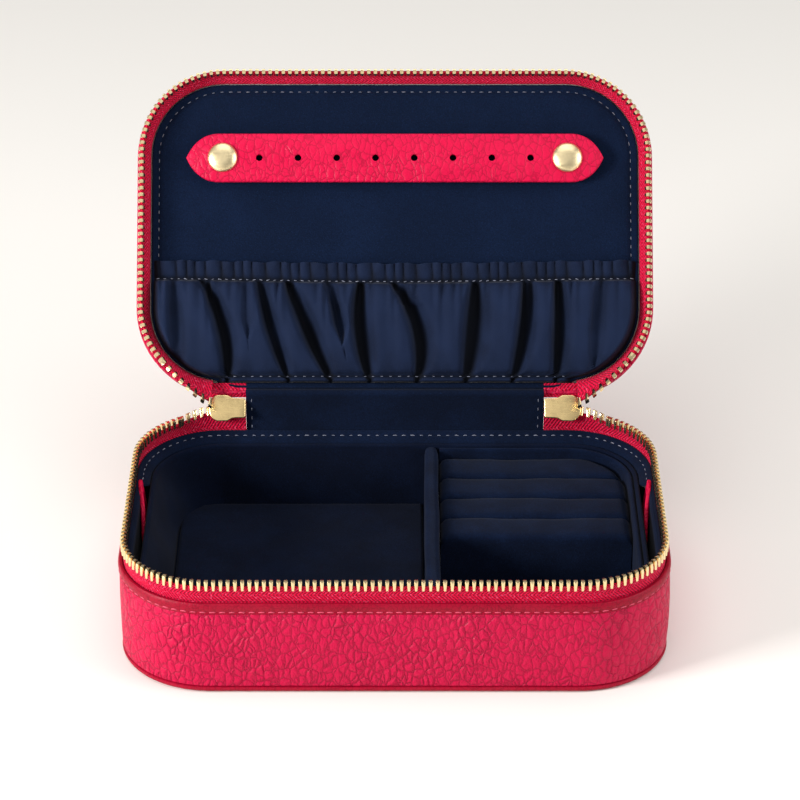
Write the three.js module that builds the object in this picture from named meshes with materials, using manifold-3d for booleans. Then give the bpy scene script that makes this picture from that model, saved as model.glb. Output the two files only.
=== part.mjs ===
// Travel jewelry case: a zip-around leather case with a fitted tray, a gathered pocket and an earring strap.
// Millimetres, +Z up. The origin is the centre of the base's resting face; the hinge is at the back, +Y.
// The case stands open: the lid group turns about the top of the hinge panel.

import * as THREE from 'three';
import { mergeVertices } from 'three/addons/utils/BufferGeometryUtils.js';
import Module from 'manifold-3d';

const wasm = await Module();
wasm.setup();

// Overall size of the leather outside
const CASE_WIDTH = 172;
const CASE_DEPTH = 109;
const CORNER_RADIUS = 29;
const BASE_HEM_HEIGHT = 32.2;
const ZIP_GAP = 13.2;
const LID_HEIGHT = 10;

// Wall stack, from the outside in
const LEATHER = 1.2;
const TAPE = 0.6;
const BOARD = 1.0;
const LINING = 0.6;
const PLY_GAP = 0.2;
const PANEL_LEATHER = 1.8;
const PANEL_BOARD = 1.5;
const SEAM_GAP = 0.3;

// Zip
const TEETH_THICKNESS = 2.2;
const CHAIN_HEIGHT = 2.1;
const CHAIN_GAP = 0.3;
const TAPE_SEWN_DEPTH = 5;
const HINGE_HALF_WIDTH = 49.2;
const SLIDER_LENGTH = 12.2;
const SLIDER_WIDTH = 9;
const SLIDER_TAIL_WIDTH = 6.6;
const SLIDER_PLATE = 1.1;
const SLIDER_MOUTH = 2.8;
const SLIDER_CLEARANCE = 0.4;
const SLIDER_NECK = 3.6;
const SLIDER_SHOULDER = 6;
const SLIDER_NOSE = 2.6;
const SLIDER_NOSE_ROUND = 0.62;
const SLIDER_POST_FROM_NOSE = 1.6;
const SLIDER_POST_LENGTH = 3;
const SLIDER_POST_WIDTH = 2.2;
const WELD = 0.2;

// Hinge and the rocking of the sliders as the lid opens
const LID_OPEN_ANGLE = 124.5;
const SLIDER_ROCK_ANGLE = 34.5;
const ROCK_AXIS_OUT = 2.9;
const ROCK_AXIS_UP = 0.35;

// Pull
const PULL_EYE_RADIUS = 1.9;
const PULL_EYE_HOLE = 1.1;
const PULL_EYE_WIDTH = 1.5;
const PULL_LENGTH = 20;
const PULL_WIDTH = 7;
const PULL_THICKNESS = 1.4;
const PULL_NECK = 5;
const PULL_WAIST = 0.8;
const BRIDGE_BAR = 0.9;
const BRIDGE_SPAN = 6.4;
const BRIDGE_CLEARANCE = 0.25;
const BRIDGE_CHAMFER = 0.6;

// Tray
const TRAY_TOP = 30;
const TRAY_CLEARANCE = 2.4;
const TRAY_WALL = 1.6;
const TRAY_BOARD = 1.5;
const FLOOR_PAD = 2.2;
const END_SLOPE = 6.5;
const DIVIDER_CENTRE = 12;
const DIVIDER_THICKNESS = 4.6;
const LINER_THICKNESS = 1.5;
const ROLL_COUNT = 4;
const ROLL_PITCH = 12.7;
const ROLL_DROP = 3.2;
const ROLL_HEIGHT = 13;
const ROLL_CROWN = 4.5;
const TAB_THICKNESS = 1.5;
const TAB_WIDTH = 12;
const TAB_HEIGHT = 16;
const TAB_CENTRE = 8;

// Lid
const LID_LINING_RECESS = 1;
const STRAP_LENGTH = 139.5;
const STRAP_WIDTH = 16.4;
const STRAP_THICKNESS = 1.6;
const STRAP_FROM_HINGE = 79;
const STRAP_LIFT = 2.3;
const STRAP_TIP = 11;
const EARRING_HOLES = 8;
const EARRING_HOLE_PITCH = 12.95;
const EARRING_HOLE_RADIUS = 1.15;
const SNAP_SPACING = 115.2;
const SNAP_CAP_RADIUS = 5;
const SNAP_CAP_CROWN = 1.7;
const SNAP_CAP_PROFILE = [[0.55, 0.86], [0.88, 0.5]];
const SNAP_POST_RADIUS = 1.5;
const SNAP_SOCKET_RADIUS = 3.4;
const SNAP_SOCKET_HEIGHT = 1.0;
const STUD_RADIUS = 0.9;
const STUD_BASE_RADIUS = 3;
const FIT_GAP = 0.3;
const POCKET_TOP = 44;
const POCKET_BOTTOM = 6;
const POCKET_SHEET = 1;
const POCKET_STANDOFF = 2.5;
const POCKET_SIDE = 6;
const ELASTIC_WIDTH = 3;
const ELASTIC_THICKNESS = 0.8;
const ELASTIC_DROP = 6;

// Curve steps
const CORNER_STEPS = 5;
const ROUND_STEPS = 16;

// Offsets from the outer face of the leather to each ply, and heights that follow from the sizes above
const TAPE_AT = LEATHER + PLY_GAP;
const BOARD_AT = TAPE_AT + TAPE + PLY_GAP;
const LINING_AT = BOARD_AT + BOARD + PLY_GAP;
const LINING_IN = LINING_AT + LINING;
const CHAIN_AT = TAPE_AT + TAPE / 2 - TEETH_THICKNESS / 2;
const CHAIN_IN = CHAIN_AT + TEETH_THICKNESS;
const TRAY_AT = LINING_IN + TRAY_CLEARANCE;
const TRAY_IN = TRAY_AT + TRAY_WALL;
const LINER_AT = TRAY_IN + SEAM_GAP;
const LINER_IN = LINER_AT + LINER_THICKNESS;

const PANEL_TOP = PANEL_LEATHER + SEAM_GAP;
const BOARD_TOP = PANEL_TOP + PANEL_BOARD;
const BOTTOM_LINING_AT = BOARD_TOP + SEAM_GAP;
const TRAY_BOTTOM = BOTTOM_LINING_AT + LINING + SEAM_GAP;
const PAD_BOTTOM = TRAY_BOTTOM + TRAY_BOARD + SEAM_GAP;
const ZIP_MIDDLE = BASE_HEM_HEIGHT + ZIP_GAP / 2;
const BASE_CHAIN_TOP = ZIP_MIDDLE - CHAIN_GAP / 2;
const BASE_TAPE_TOP = BASE_CHAIN_TOP - CHAIN_HEIGHT - SEAM_GAP;
const WALL_LINING_TOP = BASE_HEM_HEIGHT - SEAM_GAP;
const HINGE_Y = CASE_DEPTH / 2;
const HINGE_Z = BASE_HEM_HEIGHT + ZIP_GAP;
const SLIDER_X = HINGE_HALF_WIDTH + SLIDER_CLEARANCE + SLIDER_LENGTH / 2;
const CHAIN_END = SLIDER_X + SLIDER_LENGTH / 2 + SLIDER_CLEARANCE;
const DIVIDER_LEFT = DIVIDER_CENTRE - DIVIDER_THICKNESS / 2;
const DIVIDER_RIGHT = DIVIDER_CENTRE + DIVIDER_THICKNESS / 2;

const LEATHER_PINK = { color: 0xd2284f, roughness: 0.55, metalness: 0 };
const TAPE_PINK = { color: 0xc81f4a, roughness: 0.8, metalness: 0 };
const SUEDE_NAVY = { color: 0x18223c, roughness: 0.95, metalness: 0 };
const SATIN_NAVY = { color: 0x141d36, roughness: 0.7, metalness: 0 };
const BRASS = { color: 0xe0c48a, roughness: 0.3, metalness: 1 };
const GREY_BOARD = { color: 0x9a958c, roughness: 0.9, metalness: 0 };
const FOAM = { color: 0xd8d4cc, roughness: 0.95, metalness: 0 };

function piece(name, geometry, finish, parent) {
  const mesh = new THREE.Mesh(geometry, new THREE.MeshStandardMaterial(finish));
  mesh.name = name;
  parent.add(mesh);
  return mesh;
}

function toSolid(geometry) {
  const plain = geometry.clone();
  plain.deleteAttribute('normal');
  plain.deleteAttribute('uv');
  const merged = mergeVertices(plain, 1e-4);
  return new wasm.Manifold(new wasm.Mesh({
    numProp: 3,
    vertProperties: new Float32Array(merged.attributes.position.array),
    triVerts: new Uint32Array(merged.index.array),
  }));
}

function toGeometry(solid) {
  const mesh = solid.getMesh();
  const geometry = new THREE.BufferGeometry();
  geometry.setAttribute('position', new THREE.BufferAttribute(new Float32Array(mesh.vertProperties), 3));
  geometry.setIndex(new THREE.BufferAttribute(new Uint32Array(mesh.triVerts), 1));
  return geometry;
}

function join(...geometries) {
  return toGeometry(geometries.map(toSolid).reduce((whole, part) => whole.add(part)));
}

function cut(geometry, ...tools) {
  return toGeometry(tools.map(toSolid).reduce((whole, tool) => whole.subtract(tool), toSolid(geometry)));
}

function common(first, second) {
  return toGeometry(toSolid(first).intersect(toSolid(second)));
}

// Extrudes a plan outline between two heights
function slab(shape, bottom, top, steps = CORNER_STEPS) {
  const geometry = new THREE.ExtrudeGeometry(shape, {
    depth: top - bottom, bevelEnabled: false, curveSegments: steps,
  });
  return geometry.translate(0, 0, bottom);
}

function block(x0, x1, y0, y1, z0, z1) {
  return new THREE.BoxGeometry(x1 - x0, y1 - y0, z1 - z0)
    .translate((x0 + x1) / 2, (y0 + y1) / 2, (z0 + z1) / 2);
}

// The case's rounded plan, moved in from the outer face of the leather
function plan(inset, Outline = THREE.Shape) {
  const x = CASE_WIDTH / 2 - inset;
  const y = CASE_DEPTH / 2 - inset;
  const r = CORNER_RADIUS - inset;
  const outline = new Outline();
  outline.moveTo(x, -y + r);
  outline.lineTo(x, y - r);
  outline.absarc(x - r, y - r, r, 0, Math.PI / 2, false);
  outline.lineTo(-x + r, y);
  outline.absarc(-x + r, y - r, r, Math.PI / 2, Math.PI, false);
  outline.lineTo(-x, -y + r);
  outline.absarc(-x + r, -y + r, r, Math.PI, 1.5 * Math.PI, false);
  outline.lineTo(x - r, -y);
  outline.absarc(x - r, -y + r, r, 1.5 * Math.PI, 2 * Math.PI, false);
  return outline;
}

function ring(outerInset, innerInset) {
  const shape = plan(outerInset);
  shape.holes.push(plan(innerInset, THREE.Path));
  return shape;
}

// A band of the zip: a ring left open at the back for the hinge panel and the sliders
function zipBand(outerInset, innerInset, bottom, top) {
  const opening = block(-CHAIN_END, CHAIN_END, 0, CASE_DEPTH, bottom - 1, top + 1);
  return cut(slab(ring(outerInset, innerInset), bottom, top), opening);
}

function disc(cx, cy, radius) {
  const hole = new THREE.Path();
  hole.absarc(cx, cy, radius, 0, 2 * Math.PI, true);
  return hole;
}


function buildBaseShell(parent) {
  piece('base_bottom_leather', slab(plan(0), 0, PANEL_LEATHER), LEATHER_PINK, parent);
  piece('base_wall_leather', slab(ring(0, LEATHER), PANEL_TOP, BASE_HEM_HEIGHT), LEATHER_PINK, parent);
  piece('base_bottom_board', slab(plan(TAPE_AT), PANEL_TOP, BOARD_TOP), GREY_BOARD, parent);
  const wallBoard = slab(
    ring(BOARD_AT, BOARD_AT + BOARD), BOTTOM_LINING_AT, WALL_LINING_TOP - LINING - SEAM_GAP,
  );
  piece('base_wall_board', wallBoard, GREY_BOARD, parent);
  const bottomLining = slab(plan(LINING_IN + PLY_GAP), BOTTOM_LINING_AT, BOTTOM_LINING_AT + LINING);
  piece('base_bottom_lining', bottomLining, SUEDE_NAVY, parent);
  const wallLining = join(
    slab(ring(LINING_AT, LINING_IN), BOTTOM_LINING_AT, WALL_LINING_TOP),
    slab(ring(BOARD_AT, LINING_IN), WALL_LINING_TOP - LINING, WALL_LINING_TOP),
  );
  piece('base_wall_lining', wallLining, SUEDE_NAVY, parent);
}

function buildHingePanel(parent) {
  const half = HINGE_HALF_WIDTH;
  const bottom = BASE_HEM_HEIGHT + SEAM_GAP;
  const top = HINGE_Z - SEAM_GAP;
  const leatherIn = HINGE_Y - LEATHER;
  const liningOut = HINGE_Y - TAPE_AT;
  const leather = block(-half, half, leatherIn, HINGE_Y, bottom, top);
  piece('hinge_panel_leather', leather, LEATHER_PINK, parent);
  const lining = block(-half, half, liningOut - LINING, liningOut, bottom, top);
  piece('hinge_panel_lining', lining, SUEDE_NAVY, parent);
}

function buildBaseZip(parent) {
  const tape = zipBand(TAPE_AT, TAPE_AT + TAPE, BASE_HEM_HEIGHT - TAPE_SEWN_DEPTH, BASE_TAPE_TOP);
  piece('base_zipper_tape', tape, TAPE_PINK, parent);
  const chain = zipBand(CHAIN_AT, CHAIN_IN, BASE_CHAIN_TOP - CHAIN_HEIGHT, BASE_CHAIN_TOP);
  piece('base_zipper_chain', chain, BRASS, parent);
}

function buildTray(parent) {
  const inner = { x: CASE_WIDTH / 2 - TRAY_IN, y: CASE_DEPTH / 2 - TRAY_IN };
  const slope = new THREE.Shape();
  slope.moveTo(-inner.x - TRAY_WALL / 2, TRAY_TOP - SEAM_GAP);
  slope.lineTo(-inner.x - TRAY_WALL / 2, PAD_BOTTOM);
  slope.lineTo(-inner.x + END_SLOPE, PAD_BOTTOM);
  slope.lineTo(-inner.x, TRAY_TOP - SEAM_GAP);
  slope.closePath();
  const wedge = new THREE.ExtrudeGeometry(slope, { depth: CASE_DEPTH, bevelEnabled: false })
    .rotateX(Math.PI / 2)
    .translate(0, CASE_DEPTH / 2, 0);
  const slopedEnd = common(wedge, slab(plan(TRAY_AT + TRAY_WALL / 2), PAD_BOTTOM, TRAY_TOP));
  const wall = slab(ring(TRAY_AT, TRAY_IN), TRAY_BOTTOM, TRAY_TOP);
  piece('tray_wall', join(wall, slopedEnd), SUEDE_NAVY, parent);

  const insideAt = TRAY_IN + SEAM_GAP;
  const board = slab(plan(insideAt), TRAY_BOTTOM, TRAY_BOTTOM + TRAY_BOARD);
  piece('tray_floor_board', board, GREY_BOARD, parent);

  const dividerDepth = inner.y - SEAM_GAP;
  const divider = block(
    DIVIDER_LEFT, DIVIDER_RIGHT, -dividerDepth, dividerDepth, PAD_BOTTOM, TRAY_TOP - SEAM_GAP,
  );
  piece('tray_divider', divider, SUEDE_NAVY, parent);

  const padTop = PAD_BOTTOM + FLOOR_PAD;
  const padLeft = -inner.x + END_SLOPE + SEAM_GAP;
  const leftRoom = block(padLeft, DIVIDER_LEFT - SEAM_GAP, -CASE_DEPTH, CASE_DEPTH, PAD_BOTTOM, padTop);
  piece('left_floor_pad', common(slab(plan(insideAt), PAD_BOTTOM, padTop), leftRoom), SUEDE_NAVY, parent);

  const linerSide = block(
    DIVIDER_RIGHT + SEAM_GAP, CASE_WIDTH, -CASE_DEPTH, CASE_DEPTH, PAD_BOTTOM, TRAY_TOP,
  );
  const liner = common(slab(ring(LINER_AT, LINER_IN), PAD_BOTTOM, TRAY_TOP - SEAM_GAP), linerSide);
  piece('right_side_liner', liner, SUEDE_NAVY, parent);

  const roomAt = LINER_IN + SEAM_GAP;
  const room = {
    left: DIVIDER_RIGHT + SEAM_GAP,
    right: CASE_WIDTH / 2 - roomAt,
    back: CASE_DEPTH / 2 - roomAt,
  };
  const rollsFront = room.back - ROLL_COUNT * ROLL_PITCH;
  const rollTop = TRAY_TOP - ROLL_DROP;
  const bedTop = rollTop - ROLL_HEIGHT - SEAM_GAP;
  const roomPlan = slab(plan(roomAt), PAD_BOTTOM, TRAY_TOP);
  const bed = block(room.left, room.right, rollsFront, room.back, PAD_BOTTOM, bedTop);
  piece('ring_roll_bed', common(bed, roomPlan), FOAM, parent);
  for (let i = 0; i < ROLL_COUNT; i += 1) {
    const front = room.back - (i + 1) * ROLL_PITCH;
    const loaf = loafShape(front, front + ROLL_PITCH - SEAM_GAP, bedTop + SEAM_GAP, rollTop);
    const roll = new THREE.ExtrudeGeometry(loaf, {
      depth: room.right - room.left, bevelEnabled: false, curveSegments: CORNER_STEPS,
    }).rotateX(Math.PI / 2).rotateZ(Math.PI / 2).translate(room.left, 0, 0);
    piece(`ring_roll_${i + 1}`, common(roll, roomPlan), SUEDE_NAVY, parent);
  }
  const rightFront = block(room.left, room.right, -CASE_DEPTH, rollsFront - SEAM_GAP, PAD_BOTTOM, padTop);
  piece('right_floor_pad', common(rightFront, roomPlan), SUEDE_NAVY, parent);
}

// The end view of a foam roll: straight sides and a crowned top
function loafShape(front, back, bottom, top) {
  const shape = new THREE.Shape();
  const crown = Math.min(ROLL_CROWN, (back - front) / 2);
  shape.moveTo(front, bottom);
  shape.lineTo(back, bottom);
  shape.lineTo(back, top - crown);
  shape.absarc(back - crown, top - crown, crown, 0, Math.PI / 2, false);
  shape.lineTo(front + crown, top);
  shape.absarc(front + crown, top - crown, crown, Math.PI / 2, Math.PI, false);
  shape.closePath();
  return shape;
}

function buildSideTabs(parent) {
  const outer = CASE_WIDTH / 2 - LINING_IN - SEAM_GAP;
  const top = BASE_HEM_HEIGHT + SEAM_GAP;
  const tab = (side) => block(
    Math.min(side * outer, side * (outer - TAB_THICKNESS)),
    Math.max(side * outer, side * (outer - TAB_THICKNESS)),
    TAB_CENTRE - TAB_WIDTH / 2, TAB_CENTRE + TAB_WIDTH / 2, top - TAB_HEIGHT, top,
  );
  piece('side_tab_left', tab(-1), LEATHER_PINK, parent);
  piece('side_tab_right', tab(1), LEATHER_PINK, parent);
}

// Lid pieces are drawn closed, from the hinge line: x as the case, y from the hinge, z up from the lid's hem
function buildLid(parent) {
  const lid = new THREE.Group();
  const drawn = (geometry) => geometry.translate(0, -HINGE_Y, 0);
  lid.position.set(0, HINGE_Y, HINGE_Z);
  lid.rotation.x = -THREE.MathUtils.degToRad(LID_OPEN_ANGLE);
  parent.add(lid);

  const topAt = LID_HEIGHT - PANEL_LEATHER;
  const boardTop = topAt - SEAM_GAP;
  const boardAt = boardTop - PANEL_BOARD;
  const liningTop = LID_LINING_RECESS + LINING;
  piece('lid_top_leather', drawn(slab(plan(0), topAt, LID_HEIGHT)), LEATHER_PINK, lid);
  piece('lid_wall_leather', drawn(slab(ring(0, LEATHER), 0, boardTop)), LEATHER_PINK, lid);
  piece('lid_board', drawn(slab(plan(TAPE_AT), boardAt, boardTop)), GREY_BOARD, lid);
  const wallBoard = slab(ring(BOARD_AT, BOARD_AT + BOARD), liningTop + SEAM_GAP, boardAt - SEAM_GAP);
  piece('lid_wall_board', drawn(wallBoard), GREY_BOARD, lid);
  const padding = slab(plan(LINING_AT + SEAM_GAP), liningTop + SEAM_GAP, boardAt - SEAM_GAP);
  piece('lid_padding', drawn(padding), FOAM, lid);
  piece('lid_lining', drawn(slab(plan(BOARD_AT), LID_LINING_RECESS, liningTop)), SUEDE_NAVY, lid);

  const chainBottom = CHAIN_GAP / 2 - ZIP_GAP / 2;
  const tapeBottom = chainBottom + CHAIN_HEIGHT + SEAM_GAP;
  const tapeTop = Math.min(TAPE_SEWN_DEPTH, boardAt - SEAM_GAP);
  piece('lid_zipper_tape', drawn(zipBand(TAPE_AT, TAPE_AT + TAPE, tapeBottom, tapeTop)), TAPE_PINK, lid);
  const chain = zipBand(CHAIN_AT, CHAIN_IN, chainBottom, chainBottom + CHAIN_HEIGHT);
  piece('lid_zipper_chain', drawn(chain), BRASS, lid);

  buildPocket(lid);
  buildStrap(lid);
}

// A height below the lining face, into the case when the lid is closed
const belowLining = (distance) => LID_LINING_RECESS - distance;

function buildPocket(lid) {
  const farTop = belowLining(POCKET_STANDOFF);
  const farBottom = farTop - POCKET_SHEET;
  const near = belowLining(FIT_GAP);
  const nearHinge = block(-CASE_WIDTH, CASE_WIDTH, CASE_DEPTH / 2 - POCKET_TOP, CASE_DEPTH, farBottom, near);
  const pouch = common(slab(plan(POCKET_SIDE), farBottom, near), nearHinge);
  const room = common(
    slab(plan(POCKET_SIDE + POCKET_SHEET), farTop, near + 1),
    block(
      -CASE_WIDTH, CASE_WIDTH, CASE_DEPTH / 2 - POCKET_TOP - 1, HINGE_Y - POCKET_BOTTOM - 1,
      farTop, near + 1,
    ),
  );
  piece('lid_pocket', cut(pouch, room).translate(0, -HINGE_Y, 0), SATIN_NAVY, lid);

  const half = CASE_WIDTH / 2 - POCKET_SIDE - POCKET_SHEET - 1;
  const elasticTop = farBottom - FIT_GAP;
  const fromHinge = POCKET_TOP - ELASTIC_DROP;
  const elastic = block(
    -half, half, -fromHinge - ELASTIC_WIDTH / 2, -fromHinge + ELASTIC_WIDTH / 2,
    elasticTop - ELASTIC_THICKNESS, elasticTop,
  );
  piece('lid_pocket_elastic', elastic, SATIN_NAVY, lid);
}

// The strap's outline: straight sides that curve in to a point at each end
function strapShape() {
  const end = STRAP_LENGTH / 2;
  const half = STRAP_WIDTH / 2;
  const shoulder = end - STRAP_TIP;
  const shape = new THREE.Shape();
  shape.moveTo(-shoulder, -half);
  shape.lineTo(shoulder, -half);
  shape.quadraticCurveTo(end - STRAP_TIP / 3, -half, end, 0);
  shape.quadraticCurveTo(end - STRAP_TIP / 3, half, shoulder, half);
  shape.lineTo(-shoulder, half);
  shape.quadraticCurveTo(-end + STRAP_TIP / 3, half, -end, 0);
  shape.quadraticCurveTo(-end + STRAP_TIP / 3, -half, -shoulder, -half);
  for (let i = 0; i < EARRING_HOLES; i += 1) {
    shape.holes.push(disc((i - (EARRING_HOLES - 1) / 2) * EARRING_HOLE_PITCH, 0, EARRING_HOLE_RADIUS));
  }
  for (const side of [-1, 1]) {
    shape.holes.push(disc(side * SNAP_SPACING / 2, 0, SNAP_POST_RADIUS + FIT_GAP));
  }
  return shape;
}

// Turns a profile given as [radius, height] pairs about the vertical axis
function turned(profile) {
  const points = profile.map(([radius, height]) => new THREE.Vector2(radius, height));
  return new THREE.LatheGeometry(points, ROUND_STEPS).rotateX(Math.PI / 2);
}

function buildStrap(lid) {
  const strapTop = belowLining(STRAP_LIFT);
  const strapBottom = strapTop - STRAP_THICKNESS;
  const strap = slab(strapShape(), strapBottom, strapTop, 6).translate(0, -STRAP_FROM_HINGE, 0);
  piece('earring_strap', strap, LEATHER_PINK, lid);

  const capTop = strapBottom - FIT_GAP;
  const socketBottom = strapTop + FIT_GAP;
  const socketTop = socketBottom + SNAP_SOCKET_HEIGHT;
  const recess = STUD_RADIUS + FIT_GAP;
  const cap = turned([
    [0, capTop - SNAP_CAP_CROWN],
    ...SNAP_CAP_PROFILE.map(([out, rise]) => [SNAP_CAP_RADIUS * out, capTop - SNAP_CAP_CROWN * rise]),
    [SNAP_CAP_RADIUS, capTop],
    [SNAP_POST_RADIUS, capTop], [SNAP_POST_RADIUS, socketBottom], [SNAP_SOCKET_RADIUS, socketBottom],
    [SNAP_SOCKET_RADIUS, socketTop], [recess, socketTop], [recess, socketBottom], [0, socketBottom],
  ]);
  const studFoot = belowLining(FIT_GAP);
  const studBase = Math.min(socketTop + FIT_GAP, studFoot);
  const stud = turned([
    [0, socketBottom + FIT_GAP], [STUD_RADIUS, socketBottom + FIT_GAP], [STUD_RADIUS, studBase],
    [STUD_BASE_RADIUS, studBase], [STUD_BASE_RADIUS, studFoot], [0, studFoot],
  ]);
  for (const [side, label] of [[-1, 'left'], [1, 'right']]) {
    const x = side * SNAP_SPACING / 2;
    piece(`snap_cap_${label}`, cap.clone(), BRASS, lid).position.set(x, -STRAP_FROM_HINGE, 0);
    piece(`snap_stud_${label}`, stud.clone(), BRASS, lid).position.set(x, -STRAP_FROM_HINGE, 0);
  }
}

// A slider is drawn at its middle: x along the zip with the mouth at +x, y out of the case, z up
function sliderSolid() {
  const half = SLIDER_LENGTH / 2;
  const head = SLIDER_WIDTH / 2;
  const tail = SLIDER_TAIL_WIDTH / 2;
  const neck = -half + SLIDER_NECK;
  const shoulder = -half + SLIDER_SHOULDER;
  const bend = (neck + shoulder * 1.4) / 2.4;
  const nose = half - SLIDER_NOSE;
  const noseBend = half - SLIDER_NOSE / 4;
  const outline = new THREE.Shape();
  outline.moveTo(-half, -tail);
  outline.lineTo(neck, -tail);
  outline.quadraticCurveTo(bend, -tail, shoulder, -head);
  outline.lineTo(nose, -head);
  outline.quadraticCurveTo(noseBend, -head * SLIDER_NOSE_ROUND, half, 0);
  outline.quadraticCurveTo(noseBend, head * SLIDER_NOSE_ROUND, nose, head);
  outline.lineTo(shoulder, head);
  outline.quadraticCurveTo(bend, tail, neck, tail);
  outline.lineTo(-half, tail);
  outline.closePath();
  const plate = (from) => slab(outline, from, from + SLIDER_PLATE, 4).rotateX(Math.PI / 2);
  const inner = plate(SLIDER_MOUTH / 2);
  const outer = plate(-SLIDER_MOUTH / 2 - SLIDER_PLATE);
  const postEnd = half - SLIDER_POST_FROM_NOSE;
  const postHalf = SLIDER_POST_WIDTH / 2;
  const reach = SLIDER_MOUTH / 2 + WELD;
  const post = block(postEnd - SLIDER_POST_LENGTH, postEnd, -reach, reach, -postHalf, postHalf);
  return join(inner, outer, post, bridgeSolid());
}

const EYE_CENTRE = SLIDER_MOUTH / 2 + SLIDER_PLATE + BRIDGE_CLEARANCE + PULL_EYE_RADIUS;

// The loop on the slider's outer plate that the pull hangs from
function bridgeSolid() {
  const barOut = EYE_CENTRE + BRIDGE_BAR / 2;
  const barIn = EYE_CENTRE - BRIDGE_BAR / 2;
  const reach = BRIDGE_SPAN / 2;
  const foot = reach - BRIDGE_BAR;
  const sunk = SLIDER_MOUTH / 2 + SLIDER_PLATE - WELD;
  const arch = new THREE.Shape();
  arch.moveTo(-reach, sunk);
  arch.lineTo(-foot, sunk);
  arch.lineTo(-foot, barIn);
  arch.lineTo(foot, barIn);
  arch.lineTo(foot, sunk);
  arch.lineTo(reach, sunk);
  arch.lineTo(reach, barOut - BRIDGE_CHAMFER);
  arch.lineTo(reach - BRIDGE_CHAMFER, barOut);
  arch.lineTo(-reach + BRIDGE_CHAMFER, barOut);
  arch.lineTo(-reach, barOut - BRIDGE_CHAMFER);
  arch.closePath();
  return slab(arch, -BRIDGE_BAR / 2, BRIDGE_BAR / 2);
}

// A pull hangs from its eye at the origin: the eye turns about x, the paddle hangs down z
function pullSolid() {
  const eyeShape = new THREE.Shape();
  eyeShape.absarc(0, 0, PULL_EYE_RADIUS, 0, 2 * Math.PI, false);
  eyeShape.holes.push(disc(0, 0, PULL_EYE_HOLE));
  const eye = slab(eyeShape, -PULL_EYE_WIDTH / 2, PULL_EYE_WIDTH / 2, 8).rotateY(Math.PI / 2);
  const half = PULL_WIDTH / 2;
  const top = -(PULL_EYE_HOLE + PULL_EYE_RADIUS) / 2;
  const waist = half * PULL_WAIST;
  const neck = top - PULL_NECK;
  const bend = top - PULL_NECK / 2;
  const paddle = new THREE.Shape();
  paddle.moveTo(-PULL_EYE_WIDTH / 2, top);
  paddle.quadraticCurveTo(-PULL_EYE_WIDTH / 2, bend, -waist, neck);
  paddle.lineTo(-half, half - PULL_LENGTH);
  paddle.absarc(0, half - PULL_LENGTH, half, Math.PI, 2 * Math.PI, false);
  paddle.lineTo(waist, neck);
  paddle.quadraticCurveTo(PULL_EYE_WIDTH / 2, bend, PULL_EYE_WIDTH / 2, top);
  paddle.closePath();
  const blade = slab(paddle, -PULL_THICKNESS / 2, PULL_THICKNESS / 2, 5).rotateX(Math.PI / 2);
  return join(eye, blade);
}

function buildSliders(parent) {
  const slider = sliderSolid();
  const pull = pullSolid();
  const chainY = CASE_DEPTH / 2 - TAPE_AT - TAPE / 2;
  for (const [side, label] of [[-1, 'left'], [1, 'right']]) {
    const rocker = new THREE.Group();
    rocker.position.set(side * SLIDER_X, chainY + ROCK_AXIS_OUT, ZIP_MIDDLE + ROCK_AXIS_UP);
    rocker.rotation.x = -THREE.MathUtils.degToRad(SLIDER_ROCK_ANGLE);
    parent.add(rocker);
    const body = piece(`slider_${label}`, slider.clone(), BRASS, rocker);
    body.position.set(0, -ROCK_AXIS_OUT, -ROCK_AXIS_UP);
    body.rotation.y = side < 0 ? Math.PI : 0;
    const hung = piece(`pull_${label}`, pull.clone(), BRASS, rocker);
    hung.position.set(0, EYE_CENTRE - ROCK_AXIS_OUT, -ROCK_AXIS_UP);
    hung.rotation.x = THREE.MathUtils.degToRad(SLIDER_ROCK_ANGLE);
  }
}

const travelCase = new THREE.Group();
buildBaseShell(travelCase);
buildHingePanel(travelCase);
buildBaseZip(travelCase);
buildTray(travelCase);
buildSideTabs(travelCase);
buildLid(travelCase);
buildSliders(travelCase);

export default travelCase;
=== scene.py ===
"""Builds the looks of the zip-around travel jewelry case round its CAD frame."""

import logging
import math
from dataclasses import dataclass, field
from enum import Enum
from typing import Callable, Optional, Sequence

import bmesh
import bpy
import numpy as np
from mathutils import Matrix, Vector


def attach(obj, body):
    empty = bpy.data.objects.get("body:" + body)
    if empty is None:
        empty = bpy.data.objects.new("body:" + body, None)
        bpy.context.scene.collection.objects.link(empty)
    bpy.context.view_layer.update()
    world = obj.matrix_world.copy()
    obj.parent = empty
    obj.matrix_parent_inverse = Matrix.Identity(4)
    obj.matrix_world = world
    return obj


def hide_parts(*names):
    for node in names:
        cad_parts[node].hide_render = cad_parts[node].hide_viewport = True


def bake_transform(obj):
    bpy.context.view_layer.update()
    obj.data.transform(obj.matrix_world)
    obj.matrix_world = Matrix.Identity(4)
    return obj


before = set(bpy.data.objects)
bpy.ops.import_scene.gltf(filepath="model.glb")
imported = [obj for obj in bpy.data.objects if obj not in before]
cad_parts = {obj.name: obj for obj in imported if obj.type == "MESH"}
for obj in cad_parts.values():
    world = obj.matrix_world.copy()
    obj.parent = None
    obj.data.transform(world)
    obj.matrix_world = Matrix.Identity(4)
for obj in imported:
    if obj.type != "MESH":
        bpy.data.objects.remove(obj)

log = logging.getLogger("travel_case")

MM = 0.001
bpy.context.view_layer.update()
Colour = tuple[float, float, float, float]
Profile = list[tuple[float, float]]


def srgb(red: int, green: int, blue: int) -> Colour:
    """Turns a colour given in 0 to 255 steps into linear light.

    Args:
        red: Red step.
        green: Green step.
        blue: Blue step.

    Returns:
        The colour with an alpha of one.
    """

    def linear(step: int) -> float:
        """One channel in linear light."""
        value = step / 255
        return value / 12.92 if value <= 0.04045 else ((value + 0.055) / 1.055) ** 2.4

    return (linear(red), linear(green), linear(blue), 1.0)


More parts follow.
